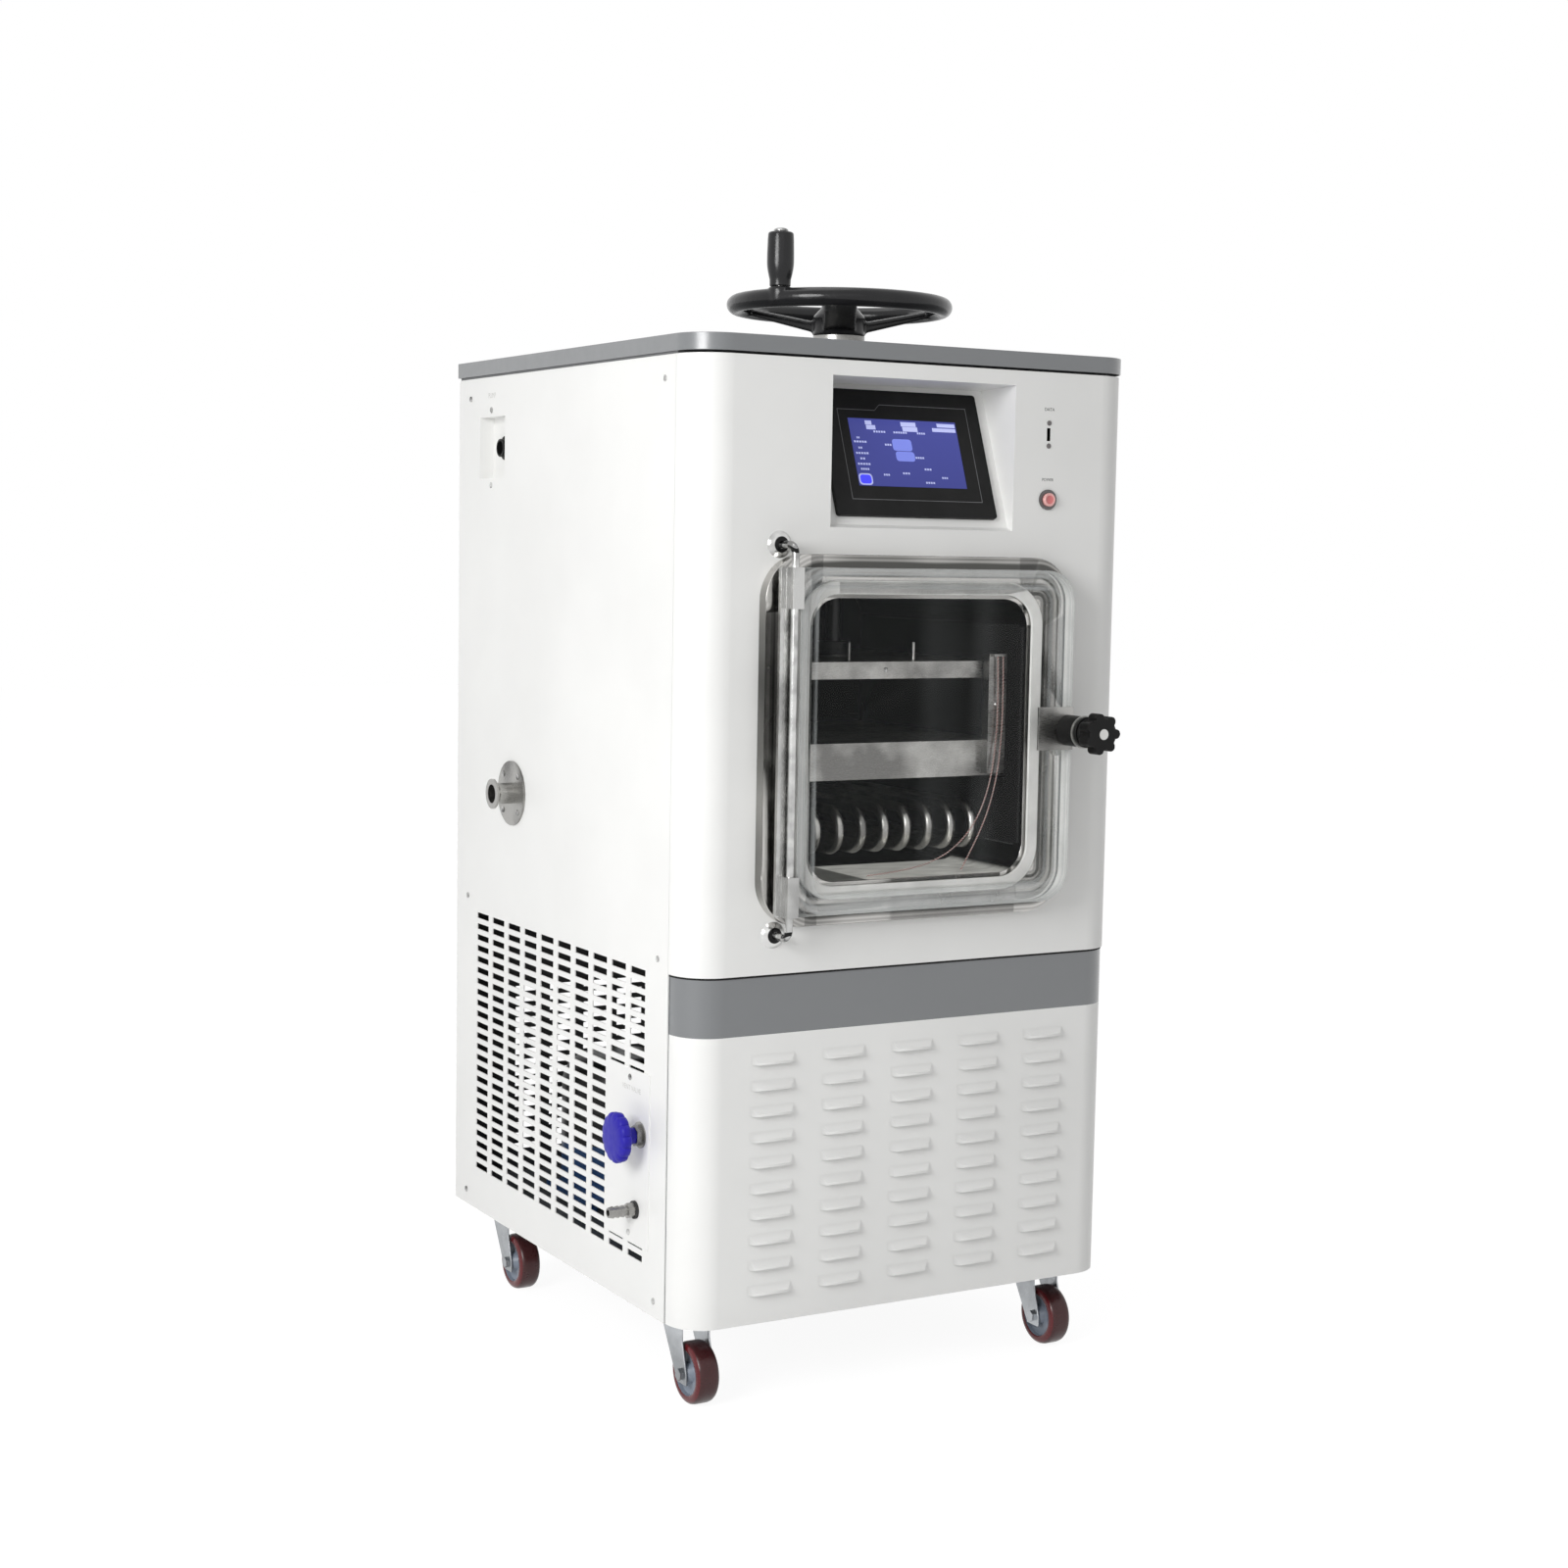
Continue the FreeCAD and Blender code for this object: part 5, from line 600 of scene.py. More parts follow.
# an outline turned about an axis: each of its points is a distance along it, a radius and a finish's number
def turnedPiece(name, outline, centre, axis, looks, body, stands=(), steps=64, closed=False):
    along = Vector(axis)
    side = along.orthogonal().normalized()
    other = along.cross(side)
    count = len(outline)
    verts, faces, kinds = [], [], []
    for k in range(steps):
        turn = 2 * math.pi * k / steps
        out = side * math.cos(turn) + other * math.sin(turn)
        verts += [centre + along * x + out * radius for x, radius, kind in outline]
        here, there = k * count, (k + 1) % steps * count
        for j in range(count if closed else count - 1):
            after = (j + 1) % count
            faces.append((here + j, here + after, there + after, there + j))
            kinds.append(outline[j][2])
    mesh = bpy.data.meshes.new(name)
    mesh.from_pydata(verts, [], faces)
    mesh.polygons.foreach_set("material_index", kinds)
    work = bmesh.new()
    work.from_mesh(mesh)
    bmesh.ops.remove_doubles(work, verts=work.verts, dist=edgeSettings["turnedWeld"])
    bmesh.ops.recalc_face_normals(work, faces=work.faces)
    return newPiece(name, settle(work, mesh, name, 40), body, stands, looks)


# a quarter round between two outline points, bulging away from the axis
def roundOff(start, end, kind, steps=6):
    (x0, r0), (x1, r1) = start, end
    turns = [math.pi / 2 * k / steps for k in range(steps + 1)]
    return [(x0 + (x1 - x0) * math.sin(turn), r1 + (r0 - r1) * math.cos(turn), kind) for turn in turns]


# printed letters that stand just clear of the panel
labelSettings = {"thick": 0.03 * mm, "lift": 0.06 * mm}


def labelPiece(text, height, place, rightward, upward, finish):
    curve = bpy.data.curves.new("label", "FONT")
    curve.body = text
    curve.size = height
    curve.align_x = "CENTER"
    curve.align_y = "CENTER"
    curve.extrude = labelSettings["thick"]
    mesh = takeMesh(newObject("label", curve))
    right, up = Vector(rightward), Vector(upward)
    facing = right.cross(up)
    mesh.transform(axesAt(Vector(place) + facing * labelSettings["lift"], right, up, facing))
    dress(mesh, finish)
    return newPiece("label" + text.title().replace(" ", ""), mesh, "cabinet")


def newTree(name, sizes):
    tree = bpy.data.node_groups.new(name, "GeometryNodeTree")
    tree.interface.new_socket("Geometry", in_out="INPUT", socket_type="NodeSocketGeometry")
    for label, value in sizes.items():
        kind = "NodeSocketInt" if isinstance(value, int) else "NodeSocketFloat"
        tree.interface.new_socket(label, in_out="INPUT", socket_type=kind).default_value = value
    tree.interface.new_socket("Geometry", in_out="OUTPUT", socket_type="NodeSocketGeometry")
    given = tree.nodes.new("NodeGroupInput").outputs
    return tree, given


def geo(tree, kind, values=None, **settings):
    return addNode(tree, "GeometryNode" + kind, values, **settings).outputs[0]


def joinParts(tree, parts):
    node = tree.nodes.new("GeometryNodeJoinGeometry")
    for part in parts:
        tree.links.new(part, node.inputs[0])
    return node.outputs[0]


def painted(tree, geometry, finish):
    return geo(tree, "SetMaterial", {"Geometry": geometry, "Material": finishes[finish]})


def moved(tree, geometry, place):
    return geo(tree, "Transform", {"Geometry": geometry, "Translation": place})


def closeTree(tree, geometry):
    addNode(tree, "NodeGroupOutput", {0: geometry})


def realized(tree, geometry):
    return geo(tree, "RealizeInstances", {"Geometry": geometry})


def growMesh(name, data, tree, sizes):
    base = newObject(name + "Base", data)
    modifier = base.modifiers.new(name, "NODES")
    modifier.node_group = tree
    for item in tree.interface.items_tree:
        if item.in_out == "INPUT" and item.name in sizes:
            modifier[item.identifier] = sizes[item.name]
    mesh = takeMesh(base)
    mesh.name = name
    return mesh


# screws: heads with a cross recess, one for each screw of the frame's set
screwSettings = {"headRadius": 4.0 * mm, "headTall": 1.9 * mm, "slotWide": 1.1 * mm, "slotLong": 4.6 * mm,
                 "slotDeep": 1.3 * mm}
socketScrewSettings = {**screwSettings, "headRadius": 3.2 * mm}
domeShape = {"wide": 1.12, "flat": 0.42}  # the ball that rounds a head: its radius in the head's, its height
socketReach = 30 * mm  # the data socket's own screws are no further from its middle
screwSeat = 2 * mm  # how far a screw's head stands out of its panel


# where each screw of the frame's set sits and which way its head faces: its widest end is the head
def screwSpots(node):
    work, mesh = mergedMesh(node)
    spots, seen = [], set()
    for start in work.verts:
        if start in seen:
            continue
        seen.add(start)
        stack, island = [start], []
        while stack:
            vert = stack.pop()
            island.append(vert.co.copy())
            for edge in vert.link_edges:
                other = edge.other_vert(vert)
                if other not in seen:
                    seen.add(other)
                    stack.append(other)
        low = Vector([min(co[k] for co in island) for k in range(3)])
        high = Vector([max(co[k] for co in island) for k in range(3)])
        size = high - low
        axis = max(range(3), key=lambda k: size[k])
        middle = (low + high) / 2
        wide = [co for co in island if (co - middle)[(axis + 1) % 3] > 0.9 * size[(axis + 1) % 3] / 2]
        level = sum(co[axis] for co in wide) / len(wide)
        side = 1 if level > middle[axis] else -1
        facing = Vector([side if k == axis else 0 for k in range(3)])
        seat = middle.copy()
        seat[axis] = (high if side > 0 else low)[axis] - side * screwSeat
        spots.append((seat, facing))
    work.free()
    bpy.data.meshes.remove(mesh)
    return spots


def spotMesh(name, spots):
    mesh = bpy.data.meshes.new(name)
    mesh.from_pydata([spot for spot, facing in spots], [], [])
    facings = mesh.attributes.new("facing", "FLOAT_VECTOR", "POINT")
    facings.data.foreach_set("vector", [value for spot, facing in spots for value in facing])
    return mesh


def placeOnSpots(tree, given, instance):
    facing = geo(tree, "InputNamedAttribute", {"Name": "facing"}, data_type="FLOAT_VECTOR")
    turn = addNode(tree, "FunctionNodeAlignRotationToVector", {"Vector": facing}, axis="Z").outputs[0]
    points = geo(tree, "MeshToPoints", {"Mesh": given["Geometry"]})
    return geo(tree, "InstanceOnPoints", {"Points": points, "Instance": instance, "Rotation": turn})


def vectorOf(tree, x=0.0, y=0.0, z=0.0):
    return addNode(tree, "ShaderNodeCombineXYZ", {0: x, 1: y, 2: z}).outputs[0]


def makeScrewHeads(name, values, spots, finish, stands=()):
    tree, given = newTree(name, values)
    tall, radius = given["headTall"], given["headRadius"]
    head = geo(tree, "MeshCylinder", {"Vertices": 28, "Side Segments": 1, "Radius": radius, "Depth": tall})
    raised = moved(tree, head, vectorOf(tree, z=reckon(tree, tall, 0.5)))
    ball = geo(tree, "MeshUVSphere", {
        "Segments": 28, "Rings": 14, "Radius": reckon(tree, radius, domeShape["wide"])})
    dome = geo(tree, "Transform", {"Geometry": ball, "Scale": (1, 1, domeShape["flat"])})
    pan = addNode(tree, "GeometryNodeMeshBoolean", {"Mesh 2": raised}, operation="INTERSECT")
    tree.links.new(dome, pan.inputs["Mesh 2"])
    slots = []
    for long, wide in (("slotLong", "slotWide"), ("slotWide", "slotLong")):
        bar = geo(tree, "MeshCube", {"Size": vectorOf(tree, given[long], given[wide], given["slotDeep"])})
        slots.append(moved(tree, bar, vectorOf(tree, z=tall)))
    cross = geo(tree, "MeshBoolean", {"Mesh 1": pan.outputs[0], "Mesh 2": joinParts(tree, slots)},
                operation="DIFFERENCE")
    closeTree(tree, painted(tree, realized(tree, placeOnSpots(tree, given, cross)), finish))
    mesh = growMesh("screwHeads", spotMesh("screwSpots", spots), tree, values)
    return newPiece(name, mesh, "cabinet", stands)


# the two small screws of the data socket are blackened, the others are bright
socketMiddle = boxCentre("data_socket")
allSpots = screwSpots("panel_screws")
darkSpots = [spot for spot in allSpots if (spot[0] - socketMiddle).length < socketReach]
brightSpots = [spot for spot in allSpots if spot not in darkSpots]
makeScrewHeads("screwHeads", screwSettings, brightSpots, "bright", ["panel_screws"])
makeScrewHeads("socketScrews", socketScrewSettings, darkSpots, "darkRing")
print("screws ready")

# hexagon bolts that hold the caster plates
boltSettings = {"boltAcross": 5.0 * mm, "boltTall": 3.6 * mm}
boltPlaces = {"across": 25 * mm, "along": 32 * mm, "pivot": 24 * mm, "plateThick": 4 * mm,
              "washerTall": 1.6 * mm, "washerShare": 1.25}


def makeCasterBolts(values):
    tree, given = newTree("caster bolts", values)
    across, tall = given["boltAcross"], given["boltTall"]
    head = geo(tree, "MeshCylinder", {"Vertices": 6, "Radius": across, "Depth": tall})
    washer = geo(tree, "MeshCylinder", {
        "Vertices": 24, "Radius": reckon(tree, across, boltPlaces["washerShare"]),
        "Depth": boltPlaces["washerTall"]})
    both = joinParts(tree, [moved(tree, head, vectorOf(tree, z=reckon(tree, tall, 0.5))), washer])
    closeTree(tree, painted(tree, realized(tree, placeOnSpots(tree, given, both)), "zinc"))
    spots = []
    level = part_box("caster_plates")[1].z - boltPlaces["plateThick"]
    for corner in casterCorners:
        low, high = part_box("caster_fork_" + corner)
        pivot = Vector(((low.x + high.x) / 2, high.y - boltPlaces["pivot"], level))
        for x in (-boltPlaces["across"], boltPlaces["across"]):
            for y in (-boltPlaces["along"], boltPlaces["along"]):
                spots.append((pivot + Vector((x, y, 0)), Vector((0, 0, -1))))
    mesh = growMesh("casterBolts", spotMesh("boltSpots", spots), tree, values)
    return newPiece("casterBolts", mesh, "cabinet")


makeCasterBolts(boltSettings)
print("caster bolts ready")

# the two probe wires: a white and a red strand twisted round each other
wireSettings = {
    # points of the routes, in the cabinet's own millimetres from its lower front left corner
    "long": {"length": 0.384, "turns": 96,
             "points": [(430, 9.4, 797), (432, 9.4, 744), (430, 9.2, 689), (422, 8.3, 638), (403, 7, 594),
                        (372, 5.6, 562), (332, 4.6, 544), (287, 4, 536.5), (243, 3.6, 533.6)]},
    "short": {"length": 0.275, "turns": 69,
              "points": [(438, 9.4, 797), (439.5, 9.4, 747), (438, 9.2, 694), (432, 8.4, 646),
                         (419, 7.4, 603), (400, 6.4, 566), (380, 5.6, 534)]},
    "strandRadius": 0.52 * mm,
    "stepsPerTurn": 9,
    "uneven": 2.2,  # how far the twist runs ahead or behind, in radians
    "unevenScale": 30.0,
    "thickness": 2.2 * mm,
}


def wireRoute(name, points):
    curve = bpy.data.curves.new(name, "CURVE")
    curve.dimensions = "3D"
    spline = curve.splines.new("NURBS")
    spline.points.add(len(points) - 1)
    for point, spot in zip(spline.points, points):
        point.co = (*(cabinetCorner + Vector(spot) * mm), 1)
    spline.order_u = 3
    spline.use_endpoint_u = True
    spline.resolution_u = 14
    return curve


def routePoints(curve):
    line = takeMesh(newObject("guide", curve))
    points = [tuple(vert.co) for vert in line.vertices]
    bpy.data.meshes.remove(line)
    return points


def makeWire(label, values, strands):
    sizes = {"turns": float(values["turns"]), "strandRadius": wireSettings["strandRadius"],
             "steps": values["turns"] * wireSettings["stepsPerTurn"]}
    tree, given = newTree("twisted pair " + label, sizes)
    path = geo(tree, "ResampleCurve", {"Curve": given["Geometry"], "Count": given["steps"]})
    share = tree.nodes.new("GeometryNodeSplineParameter").outputs["Factor"]
    place = geo(tree, "InputPosition")
    noise = addNode(tree, "ShaderNodeTexNoise", {
        "Vector": place, "Scale": wireSettings["unevenScale"]}).outputs[0]
    twist = reckon(tree, share, reckon(tree, given["turns"], 2 * math.pi))
    angle = reckon(tree, twist, reckon(tree, noise, wireSettings["uneven"]), "ADD")
    tilted = geo(tree, "SetCurveTilt", {"Curve": path, "Tilt": angle})
    pair = []
    for side, finish in zip((1.0, -1.0), strands):
        ring = geo(tree, "CurvePrimitiveCircle", {"Resolution": 6, "Radius": given["strandRadius"]})
        aside = moved(tree, ring, vectorOf(tree, x=reckon(tree, given["strandRadius"], side)))
        strand = geo(tree, "CurveToMesh", {"Curve": tilted, "Profile Curve": aside, "Fill Caps": True})
        pair.append(painted(tree, strand, finish))
    closeTree(tree, realized(tree, joinParts(tree, pair)))
    curve = wireRoute("route" + label, values["points"])
    path = routePoints(curve.copy())
    mesh = growMesh("probeWire" + label.capitalize(), curve, tree, sizes)
    wire = newPiece("probeWire" + label.capitalize(), mesh, "cabinet", ["probe_wire_" + label])


for label in ("long", "short"):
    makeWire(label, wireSettings[label], ("wireWhite", "wireRed"))
print("wires ready")

# condenser fins
finSettings = {"finPitch": 3.2 * mm, "finThick": 0.5 * mm, "finWide": 40 * mm, "finTall": 292 * mm}
# from the condenser's left, front and top
finPlaces = {"side": 6 * mm, "front": 1.2 * mm, "middle": 150 * mm}


def makeFins(values):
    low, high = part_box("condenser")
    sizes = {**values, "finCount": int((high.x - low.x - 2 * finPlaces["side"]) / values["finPitch"])}
    tree, given = newTree("condenser fins", sizes)
    line = geo(tree, "MeshLine", {"Count": given["finCount"], "Offset": vectorOf(tree, x=given["finPitch"])})
    plate = geo(tree, "MeshCube", {
        "Size": vectorOf(tree, given["finThick"], given["finWide"], given["finTall"])})
    fins = geo(tree, "InstanceOnPoints", {"Points": line, "Instance": plate})
    start = Vector((low.x + finPlaces["side"], low.y + finPlaces["front"] + values["finWide"] / 2,
                    high.z - finPlaces["middle"]))
    closeTree(tree, painted(tree, realized(tree, moved(tree, fins, start)), "aluminium"))
    mesh = growMesh("condenserFins", bpy.data.meshes.new("finBase"), tree, sizes)
    return newPiece("condenserFins", mesh, "cabinet")


makeFins(finSettings)
print("fins ready")

# softened and cast pieces: name, node, body, finish, width of the rounding, slot
softened = [
    ("topCover", "top_cover", "cabinet", "greyPaint", 1.2, "grey_paint"),
    ("doorSeal", "door_gasket", "cabinet", "gasket", 1.3, "gasket"),
    ("servicePlate", "service_plate", "cabinet", "whitePaint", 0.5, "white_paint"),
    ("screenHousing", "screen_housing", "cabinet", "blackMatt", 0.9, "black_matt"),
    ("latchPlate", "latch_bracket", "door", "stainless", 0.5, "stainless"),
    ("latchSleeve", "latch_sleeve", "door", "blackMatt", 1.0, "black_matt"),
    ("hingeLeaf", "hinge_strip", "door", "hingeSteel", 0.5, "stainless"),
    ("heatedShelf", "shelf", "cabinet", "stainless", 0.8, "stainless"),
    ("pressPlate", "press_plate", "press", "pressSteel", 0.6, "stainless"),
]
for name, node, body, finish, width, slot in softened:
    easedPiece(name, node, body, [finish], width * mm)
# and the grain of the cast ones, how often they are eased, and their slot
cast = [
    ("handwheelCast", "handwheel", "wheel", "blackGloss", 1.6, 14, "black_gloss"),
    ("starKnob", "star_knob", "latch", "blackMatt", 0.7, 8, "black_matt"),
]
for corner in casterCorners:
    cast.append(("casterFork_" + corner, "caster_fork_" + corner, "swivel_" + corner, "zinc", 0.9, 5, "zinc"))
for name, node, body, finish, grain, rounds, slot in cast:
    castPiece(name, node, body, finish, grain * mm, rounds)
print("softened pieces ready")

# the valve's knob: a domed disc with scallops round its edge, on a neck
valveKnobSettings = {
    "scallops": 13, "scallop": 2.0, "neck": 10, "thick": 15.0, "steps": 208,
    "fadeStart": 0.5, "fadeSpan": 0.4,  # where the scallops come in, in shares of the radius
    "roundness": 0.6,
    "profile": [(0.0, 0.50), (0.5, 0.74), (1.6, 0.90), (3.2, 0.97), (5.2, 1.0), (10.8, 1.0), (13.2, 0.97),
                (14.6, 0.90), (15.0, 0.80)],
}


# a closed surface over rings of points
def ringMesh(name, rings, sharp=32):
    work = bmesh.new()
    rows = [[work.verts.new(spot) for spot in ring] for ring in rings]
    count = len(rows[0])
    for first, second in zip(rows, rows[1:]):
        for k in range(count):
            after = (k + 1) % count
            work.faces.new((first[k], first[after], second[after], second[k]))
    work.faces.new(rows[0])
    work.faces.new(rows[-1])
    bmesh.ops.recalc_face_normals(work, faces=work.faces)
    return settle(work, bpy.data.meshes.new(name), name, sharp)


def makeValveKnob(values):
    low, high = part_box("valve_knob")
    middle = boxCentre("valve_knob")
    radius = (high.y - low.y) / 2 / mm
    neck = values["neck"] / radius
    rings = []
    for across, share in values["profile"] + [(values["thick"], neck), ((high.x - low.x) / mm, neck)]:
        depth = values["scallop"] * max(0, min(1, (share - values["fadeStart"]) / values["fadeSpan"]))
        ring = []
        for k in range(values["steps"]):
            angle = 2 * math.pi * k / values["steps"]
            wave = abs(math.sin(angle * values["scallops"] / 2)) ** values["roundness"] - 1
            far = (radius * share + depth * wave) * mm
            ring.append((low.x + across * mm, middle.y + far * math.cos(angle),
                         middle.z + far * math.sin(angle)))
        rings.append(ring)
    return newPiece("valveKnob", ringMesh("valveKnob", rings, 40), "valve", ["valve_knob"],
                    ["bluePlastic"])


makeValveKnob(valveKnobSettings)

# the bright ring at the outer end of the latch's sleeve
latchRingSettings = {"outline": [(0, 17.0), (0, 20.4), (3.8, 20.4), (3.8, 17.0)], "back": 7.6}


def makeLatchRing(values):
    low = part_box("latch_sleeve")[0]
    middle = boxCentre("latch_sleeve")
    outline = [(x * mm, radius * mm, 0) for x, radius in values["outline"]]
    turnedPiece("latchRing", outline, Vector((middle.x, low.y + values["back"] * mm, middle.z)), (0, -1, 0),
                ["capMetal"], "door", closed=True)


makeLatchRing(latchRingSettings)

# a dark strip in the gap between the front's upper panel and the grey band below it, a painted shadow of that
# gap
shadowGapSettings = {"corner": 48 * mm, "down": 2.6 * mm, "up": 0.5 * mm, "out": 1.2 * mm, "inward": 0.8 * mm,
                "steps": 10}


def makeShadowGapStrip(values):
    low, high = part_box("grey_band")
    corner = values["corner"]
    stations = [((low.x, high.y), (-1, 0))]
    for centre, start in (((low.x + corner, low.y + corner), 180), ((high.x - corner, low.y + corner), 270)):
        for k in range(values["steps"] + 1):
            angle = math.radians(start + 90 * k / values["steps"])
            out = (math.cos(angle), math.sin(angle))
            stations.append(((centre[0] + corner * out[0], centre[1] + corner * out[1]), out))
    stations.append(((high.x, high.y), (1, 0)))
    section = ((values["out"], -values["down"]), (values["out"], values["up"]),
               (-values["inward"], values["up"]), (-values["inward"], -values["down"]))
    rings = [[(x + out[0] * off, y + out[1] * off, high.z + z) for off, z in section]
             for (x, y), out in stations]
    return newPiece("bandShadowGap", ringMesh("bandShadowGap", rings), "cabinet", (), ["shadowGap"])


makeShadowGapStrip(shadowGapSettings)

# the lower front: its louvres narrow towards their lips
louvreSettings = {"narrow": 0.24, "proud": 0.4 * mm, "between": 12 * mm}


def makeLowerFront(values):
    work, mesh = mergedMesh("front_lower_panel")
    low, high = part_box("front_lower_panel")
    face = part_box("grey_band")[0].y
    lips = [vert for vert in work.verts if vert.co.y < face - values["proud"]]
    lips.sort(key=lambda vert: vert.co.x)
    ends = []
    for vert in lips:
        if not ends or vert.co.x - ends[-1][-1].co.x > values["between"]:
            ends.append([])
        ends[-1].append(vert)
    for left, right in zip(ends[::2], ends[1::2]):
        middle = (left[0].co.x + right[-1].co.x) / 2
        for vert in left + right:
            share = (face - vert.co.y) / (face - low.y)
            vert.co.x = middle + (vert.co.x - middle) * (1 - values["narrow"] * share)
    print("louvre columns", len(ends) / 2, "vertices", len(lips))
    return weighNormals(newPiece("lowerFront", settle(work, mesh, "lowerFront", 24), "cabinet",
                                 ["front_lower_panel"], ["whitePaint"]))


makeLowerFront(louvreSettings)
print("knob, seam and lower front ready")

# the chamber: bright flange and outside, its inside in painted shade with a painted pool of light on its
# floor
chamberSettings = {"flangeWide": 20.4 * mm, "behindSeal": 0.5 * mm, "ease": 1.0 * mm}


def makeChamber(values):
    piece = easedPiece("chamberShell", "vacuum_chamber", "cabinet",
                       ["flange", "chamberShadeAndLight"], values["ease"])
    low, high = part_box("door_gasket")
    edge, back = values["flangeWide"], high.y + values["behindSeal"]
    for face in piece.data.polygons:
        x, y, z = face.center
        if low.x + edge < x < high.x - edge and low.z + edge < z < high.z - edge and y > back:
            face.material_index = 1
    return piece


makeChamber(chamberSettings)

# the door: clear faces, and cut edges painted paler as a painted highlight
doorSettings = {"ease": 0.8 * mm, "edgeOn": 0.3}  # edgeOn: how far a cut edge's normal may turn forward


def makeDoor(values):
    piece = easedPiece("doorPane", "door_panel", "door", ["acrylic", "clearEdge"],
                       values["ease"])
    for face in piece.data.polygons:
        if abs(face.normal.y) < values["edgeOn"]:
            face.material_index = 1
    return piece


makeDoor(doorSettings)
print("chamber and door ready")

# caster wheels: a dished core, a red side and a worn tread, each a half outline (across, radius, finish)
wheelSettings = {
    "core": [(16.7, 4.2), (16.7, 9.6), (15.9, 10.6), (9.0, 12.6), (8.0, 13.6), (7.6, 18.0), (8.0, 24.6),
             (9.2, 26.2)],
    "side": [(14.2, 27.2), (15.0, 28.4), (15.0, 30.6), (14.7, 32.4), (13.9, 34.3)],
    "tread": [(12.6, 35.9), (10.6, 37.2), (7.6, 37.9), (3.0, 38.0)],
    "steps": 72,
}


# the far half of the outline is the near one mirrored, and each stretch keeps its finish
def makeWheel(corner, values):
    parts = ("core", "side", "tread")
    half = [(x, radius, kind) for kind, part in enumerate(parts) for x, radius in values[part]]
    kinds = [kind for x, radius, kind in half]
    outline = [(x * mm, radius * mm, kind) for (x, radius, old), kind in zip(half, kinds[1:] + [2])]
    back = [(-x * mm, radius * mm, kind) for (x, radius, old), kind in zip(half, [0] + kinds)]
    node = "caster_wheel_" + corner
    turnedPiece("casterWheel_" + corner, outline + back[::-1], boxCentre(node), (1, 0, 0),
                ["wheelHub", "tyreSide", "tread"], "roller_" + corner,
                [node], values["steps"], True)


for corner in casterCorners:
    makeWheel(corner, wheelSettings)
print("wheels ready")

# the revolving grip, barrel shaped, and the spindle with its domed cap
gripSettings = {
    "bore": 5.2, "low": 12.8, "foot": 0.8, "waist": 13.0, "belly": 16.5, "top": 15.6, "edge": 3.2, "slope": 6,
    "waistAt": 0.12, "bellyAt": 0.46, "bellyEnd": 0.62,  # shares of its height
    "bellyFall": 0.1, "topSwell": 0.4, "steps": 8,
}


def makeGrip(values):
    low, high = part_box("handle_grip")
    tall = (high.z - low.z) / mm
    middle = boxCentre("handle_grip")
    centre = Vector((middle.x, middle.y, low.z))
    start, end = values["waistAt"], values["bellyAt"]
    outline = [(0, values["bore"], 0), (0, values["low"] - values["foot"], 0),
               (values["foot"], values["low"], 0), (tall * start, values["waist"], 0)]
    for k in range(1, values["steps"] + 1):
        share = k / values["steps"]
        swell = (values["belly"] - values["waist"]) * math.sin(math.pi / 2 * share)
        outline.append((tall * (start + (end - start) * share), values["waist"] + swell, 0))
    outline += [(tall * values["bellyEnd"], values["belly"] - values["bellyFall"], 0),
                (tall - values["edge"] - values["slope"], values["top"] + values["topSwell"], 0)]
    outline += roundOff((tall - values["edge"], values["top"]), (tall, values["top"] - values["edge"]), 0)
    outline.append((tall, values["bore"], 0))
    turnedPiece("gripBarrel", [(x * mm, radius * mm, kind) for x, radius, kind in outline], centre, (0, 0, 1),
                ["blackGloss"], "grip", ["handle_grip"], closed=True)


spindleSettings = {"rod": 5 * mm, "cap": 9 * mm, "capTall": 4.8 * mm, "foot": 0.4 * mm, "footTall": 0.8 * mm,
                   "side": 0.4 * mm}


def makeSpindle(values):
    low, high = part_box("handle_spindle")
    middle = boxCentre("handle_spindle")
    tall = high.z - low.z
    seat = tall - values["capTall"]
    shoulder = seat + values["footTall"]
    outline = [(0, 0, 0), (0, values["rod"], 0), (seat, values["rod"], 0),
               (seat, values["cap"] - values["foot"], 0), (shoulder, values["cap"], 0)]
    outline += roundOff((shoulder + values["side"], values["cap"]), (tall, 0), 0, 10)
    turnedPiece("gripSpindle", outline, Vector((middle.x, middle.y, low.z)), (0, 0, 1), ["bright"],
                "wheel", ["handle_spindle"])


makeGrip(gripSettings)
makeSpindle(spindleSettings)

# the button's cap, dished with a paler rim: inner and crest are shares of its radius
buttonSettings = {"dish": 0.3 * mm, "ledge": 0.5 * mm, "edge": 0.7 * mm, "inner": 0.66, "crest": 0.74}


def makeButton(values):
    low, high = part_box("button_cap")
    middle = boxCentre("button_cap")
    radius, deep, edge = (high.x - low.x) / 2, high.y - low.y, values["edge"]
    outline = [(values["dish"], 0, 0), (values["ledge"], radius * values["inner"], 1),
               (0, radius * values["crest"], 1), (0, radius - edge, 1), (edge, radius, 1), (deep, radius, 1),
               (deep, 0, 1)]
    turnedPiece("buttonCap", outline, Vector((middle.x, low.y, middle.z)), (0, 1, 0),
                ["redButton", "redRim"], "button", ["button_cap"])


makeButton(buttonSettings)
print("grip and button ready")

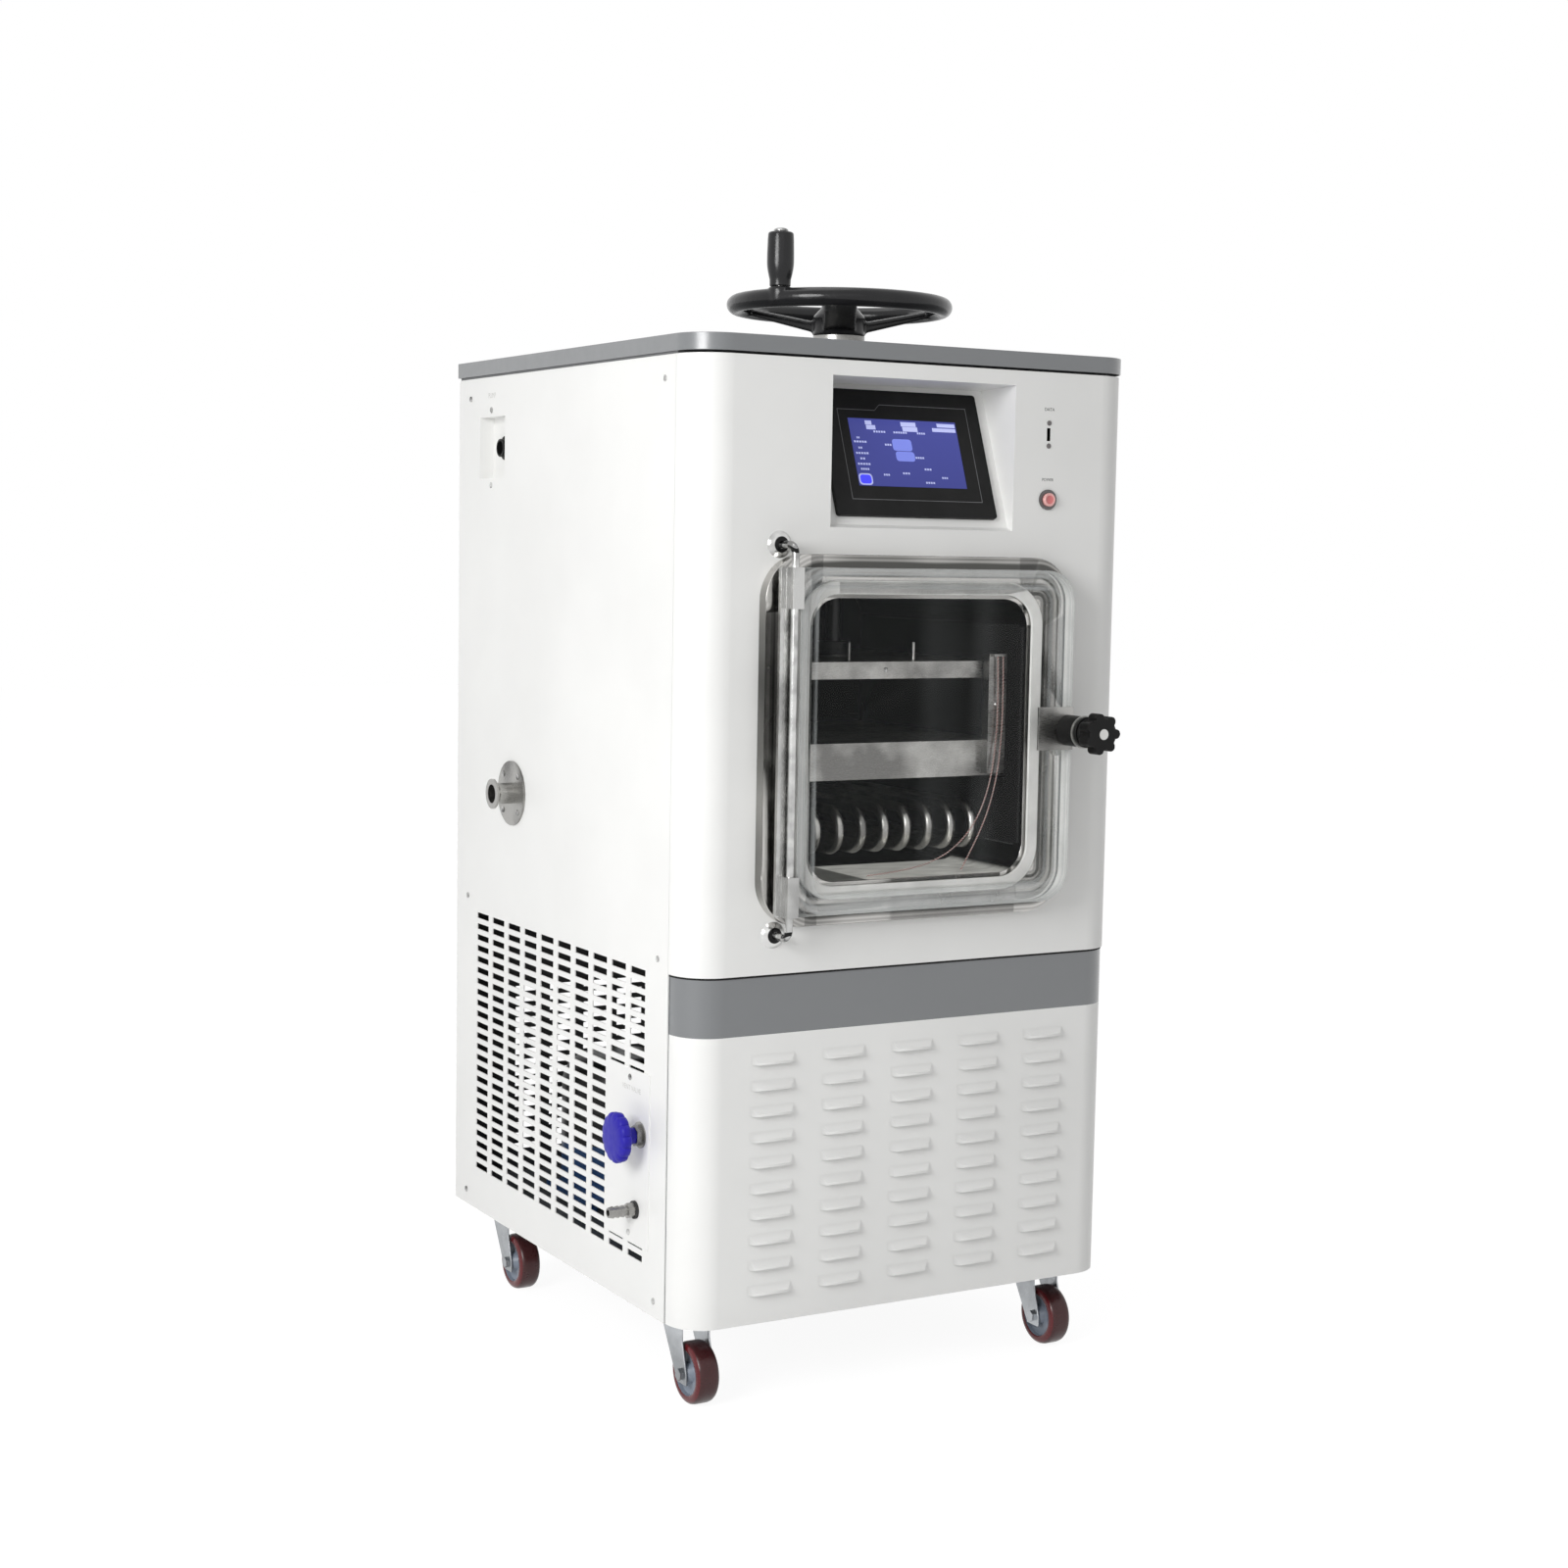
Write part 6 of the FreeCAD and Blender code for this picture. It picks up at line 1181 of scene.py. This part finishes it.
# the display: a picture of flat marks on the glass, in shares of its width and height from its upper left
displaySettings = {
    "tilt": 21,
    "glassThick": 1.2 * mm,
    "lift": 0.12 * mm,
    "topLift": 0.2 * mm,
    "pale": [(0.15, 0.21, 0.03, 0.09), (0.155, 0.24, 0.095, 0.16), (0.48, 0.62, 0.03, 0.095),
             (0.49, 0.63, 0.10, 0.17), (0.82, 0.99, 0.03, 0.085), (0.77, 0.99, 0.10, 0.155)],
    "lines": [(0.215, 0.33, 0.19), (0.40, 0.53, 0.19), (0.62, 0.70, 0.19), (0.05, 0.08, 0.29),
              (0.02, 0.14, 0.35), (0.05, 0.09, 0.44), (0.02, 0.14, 0.52), (0.05, 0.10, 0.60),
              (0.02, 0.14, 0.68), (0.04, 0.12, 0.755), (0.30, 0.365, 0.38), (0.565, 0.65, 0.56),
              (0.24, 0.30, 0.83), (0.42, 0.49, 0.80), (0.63, 0.70, 0.73), (0.78, 0.84, 0.85),
              (0.62, 0.71, 0.93)],
    "dash": 0.022, "dashFilled": 0.72, "dashHalf": 0.014,  # a line's dashes: pitch, share filled, half height
    "tanks": [(0.37, 0.55, 0.29, 0.465), (0.385, 0.56, 0.475, 0.62)],
    "tankRound": 0.025,
    "button": (0.005, 0.13, 0.82, 0.99),
    "buttonRound": 0.03,
    "face": {"x": 0.012, "y": 0.02, "round": 0.024},  # the button's face inside its pale edge
    "bezel": {"line": 0.7 * mm, "margin": 19 * mm, "left": 0.7, "low": 0.9, "step": 7.5 * mm,
              "stepStart": 0.26, "stepEnd": 0.31},
}


# a rounded outline in shares of the glass, as corner points on its face
def roundedShape(left, right, top, bottom, radius, ratio, steps=4):
    points = []
    for cx, cy, start in ((right, top, 0), (left, top, 90), (left, bottom, 180), (right, bottom, 270)):
        inX = cx - radius if cx == right else cx + radius
        inY = cy + radius * ratio if cy == top else cy - radius * ratio
        for k in range(steps + 1):
            turn = math.radians(start + 90 * k / steps)
            points.append((inX + radius * math.cos(turn), inY - radius * ratio * math.sin(turn)))
    return points


def makeDisplay(values):
    low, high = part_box("screen_glass")
    tilt = math.radians(values["tilt"])
    upSlope = Vector((0, math.sin(tilt), math.cos(tilt)))
    facing = Vector((0, -math.cos(tilt), math.sin(tilt)))
    corner = Vector((low.x, low.y, low.z + math.sin(tilt) * values["glassThick"]))
    wide, tall = high.x - low.x, (high.z - corner.z) / math.cos(tilt)
    ratio = wide / tall
    work = bmesh.new()

    def lay(points, kind, lift=values["lift"]):
        spots = [corner + Vector((u * wide, 0, 0)) + upSlope * (1 - v) * tall + facing * lift
                 for u, v in points]
        face = work.faces.new([work.verts.new(spot) for spot in spots])
        face.material_index = kind

    def bar(left, right, top, bottom, kind=0):
        lay([(left, bottom), (right, bottom), (right, top), (left, top)], kind)

    for area in values["pale"]:
        bar(*area)
    for left, right, middle in values["lines"]:
        count = max(2, round((right - left) / values["dash"]))
        step = (right - left) / count
        for k in range(count):
            start = left + k * step
            bar(start, start + values["dashFilled"] * step, middle - values["dashHalf"],
                middle + values["dashHalf"])
    for area in values["tanks"]:
        lay(roundedShape(*area, values["tankRound"], ratio), 1)
    left, right, top, bottom = values["button"]
    face = values["face"]
    lay(roundedShape(left, right, top, bottom, values["buttonRound"], ratio), 0)
    lay(roundedShape(left + face["x"], right - face["x"], top + face["y"], bottom - face["y"],
                     face["round"], ratio), 2, values["topLift"])
    # the stepped line round the glass
    bezel = values["bezel"]
    marginX, marginY = bezel["margin"] / wide, bezel["margin"] / tall
    thinX, thinY = bezel["line"] / wide, bezel["line"] / tall
    leftX, rightX, topY, lowY = -bezel["left"] * marginX, 1 + marginX, -marginY, 1 + bezel["low"] * marginY
    stepY, start, end = topY + bezel["step"] / tall, bezel["stepStart"], bezel["stepEnd"]
    bar(leftX, rightX, lowY, lowY + thinY, 3)
    bar(rightX - thinX, rightX, topY, lowY, 3)
    bar(leftX, leftX + thinX, stepY, lowY, 3)
    bar(leftX, start, stepY, stepY + thinY, 3)
    bar(end, rightX, topY, topY + thinY, 3)
    lay([(start, stepY + thinY), (end, topY + thinY), (end, topY), (start, stepY)], 3)
    bmesh.ops.triangulate(work, faces=work.faces)
    mesh = bpy.data.meshes.new("displayPicture")
    work.to_mesh(mesh)
    work.free()
    return newPiece("displayPicture", mesh, "cabinet", (),
                    ["screenPale", "screenTank", "screenButton", "bezelLine"])


makeDisplay(displaySettings)
print("display ready")

# printed words, in the cabinet's own millimetres from its lower front left corner
labels = [
    ("DATA", 5.6, (491, 0, 1101.5), (1, 0, 0), "ink"),
    ("POWER", 5.0, (491, 0, 1015.5), (1, 0, 0), "ink"),
    ("PUMP", 10, (0, 592, 1122), (0, -1, 0), "faintInk"),
    ("VENT VALVE", 9, (-1.5, 142, 268), (0, -1, 0), "faintInk"),
]
for text, height, place, rightward, finish in labels:
    labelPiece(text, height * mm, cabinetCorner + Vector(place) * mm, rightward, (0, 0, 1), finish)


# small round-headed pins: the probe bracket's, and two on the press plate's front edge
pinSettings = {
    "bracket": {"left": 3 * mm, "back": 5 * mm, "down": 62 * mm, "radius": 2.4 * mm, "out": 3 * mm},
    "press": {"up": 11 * mm, "radius": 3 * mm, "out": 1.2 * mm, "shares": {"Left": 0.05, "Middle": 0.42}},
}


def makePin(name, x, y, z, values, body):
    outline = [(0, 0, 0)] + roundOff((0, values["radius"]), (values["out"], 0), 0)
    turnedPiece(name, outline, Vector((x, y, z)), (0, -1, 0), ["bright"], body,
                steps=24)


def makePins(bracket, press):
    low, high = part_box("probe_bracket")
    makePin("bracketPin", (low.x + high.x) / 2 - bracket["left"], low.y + bracket["back"],
            high.z - bracket["down"], bracket, "cabinet")
    low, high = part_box("press_plate")
    for label, share in press["shares"].items():
        makePin("pressScrew" + label, low.x + (high.x - low.x) * share, low.y, low.z + press["up"], press,
                "press")


makePins(**pinSettings)
print("labels and pins ready")
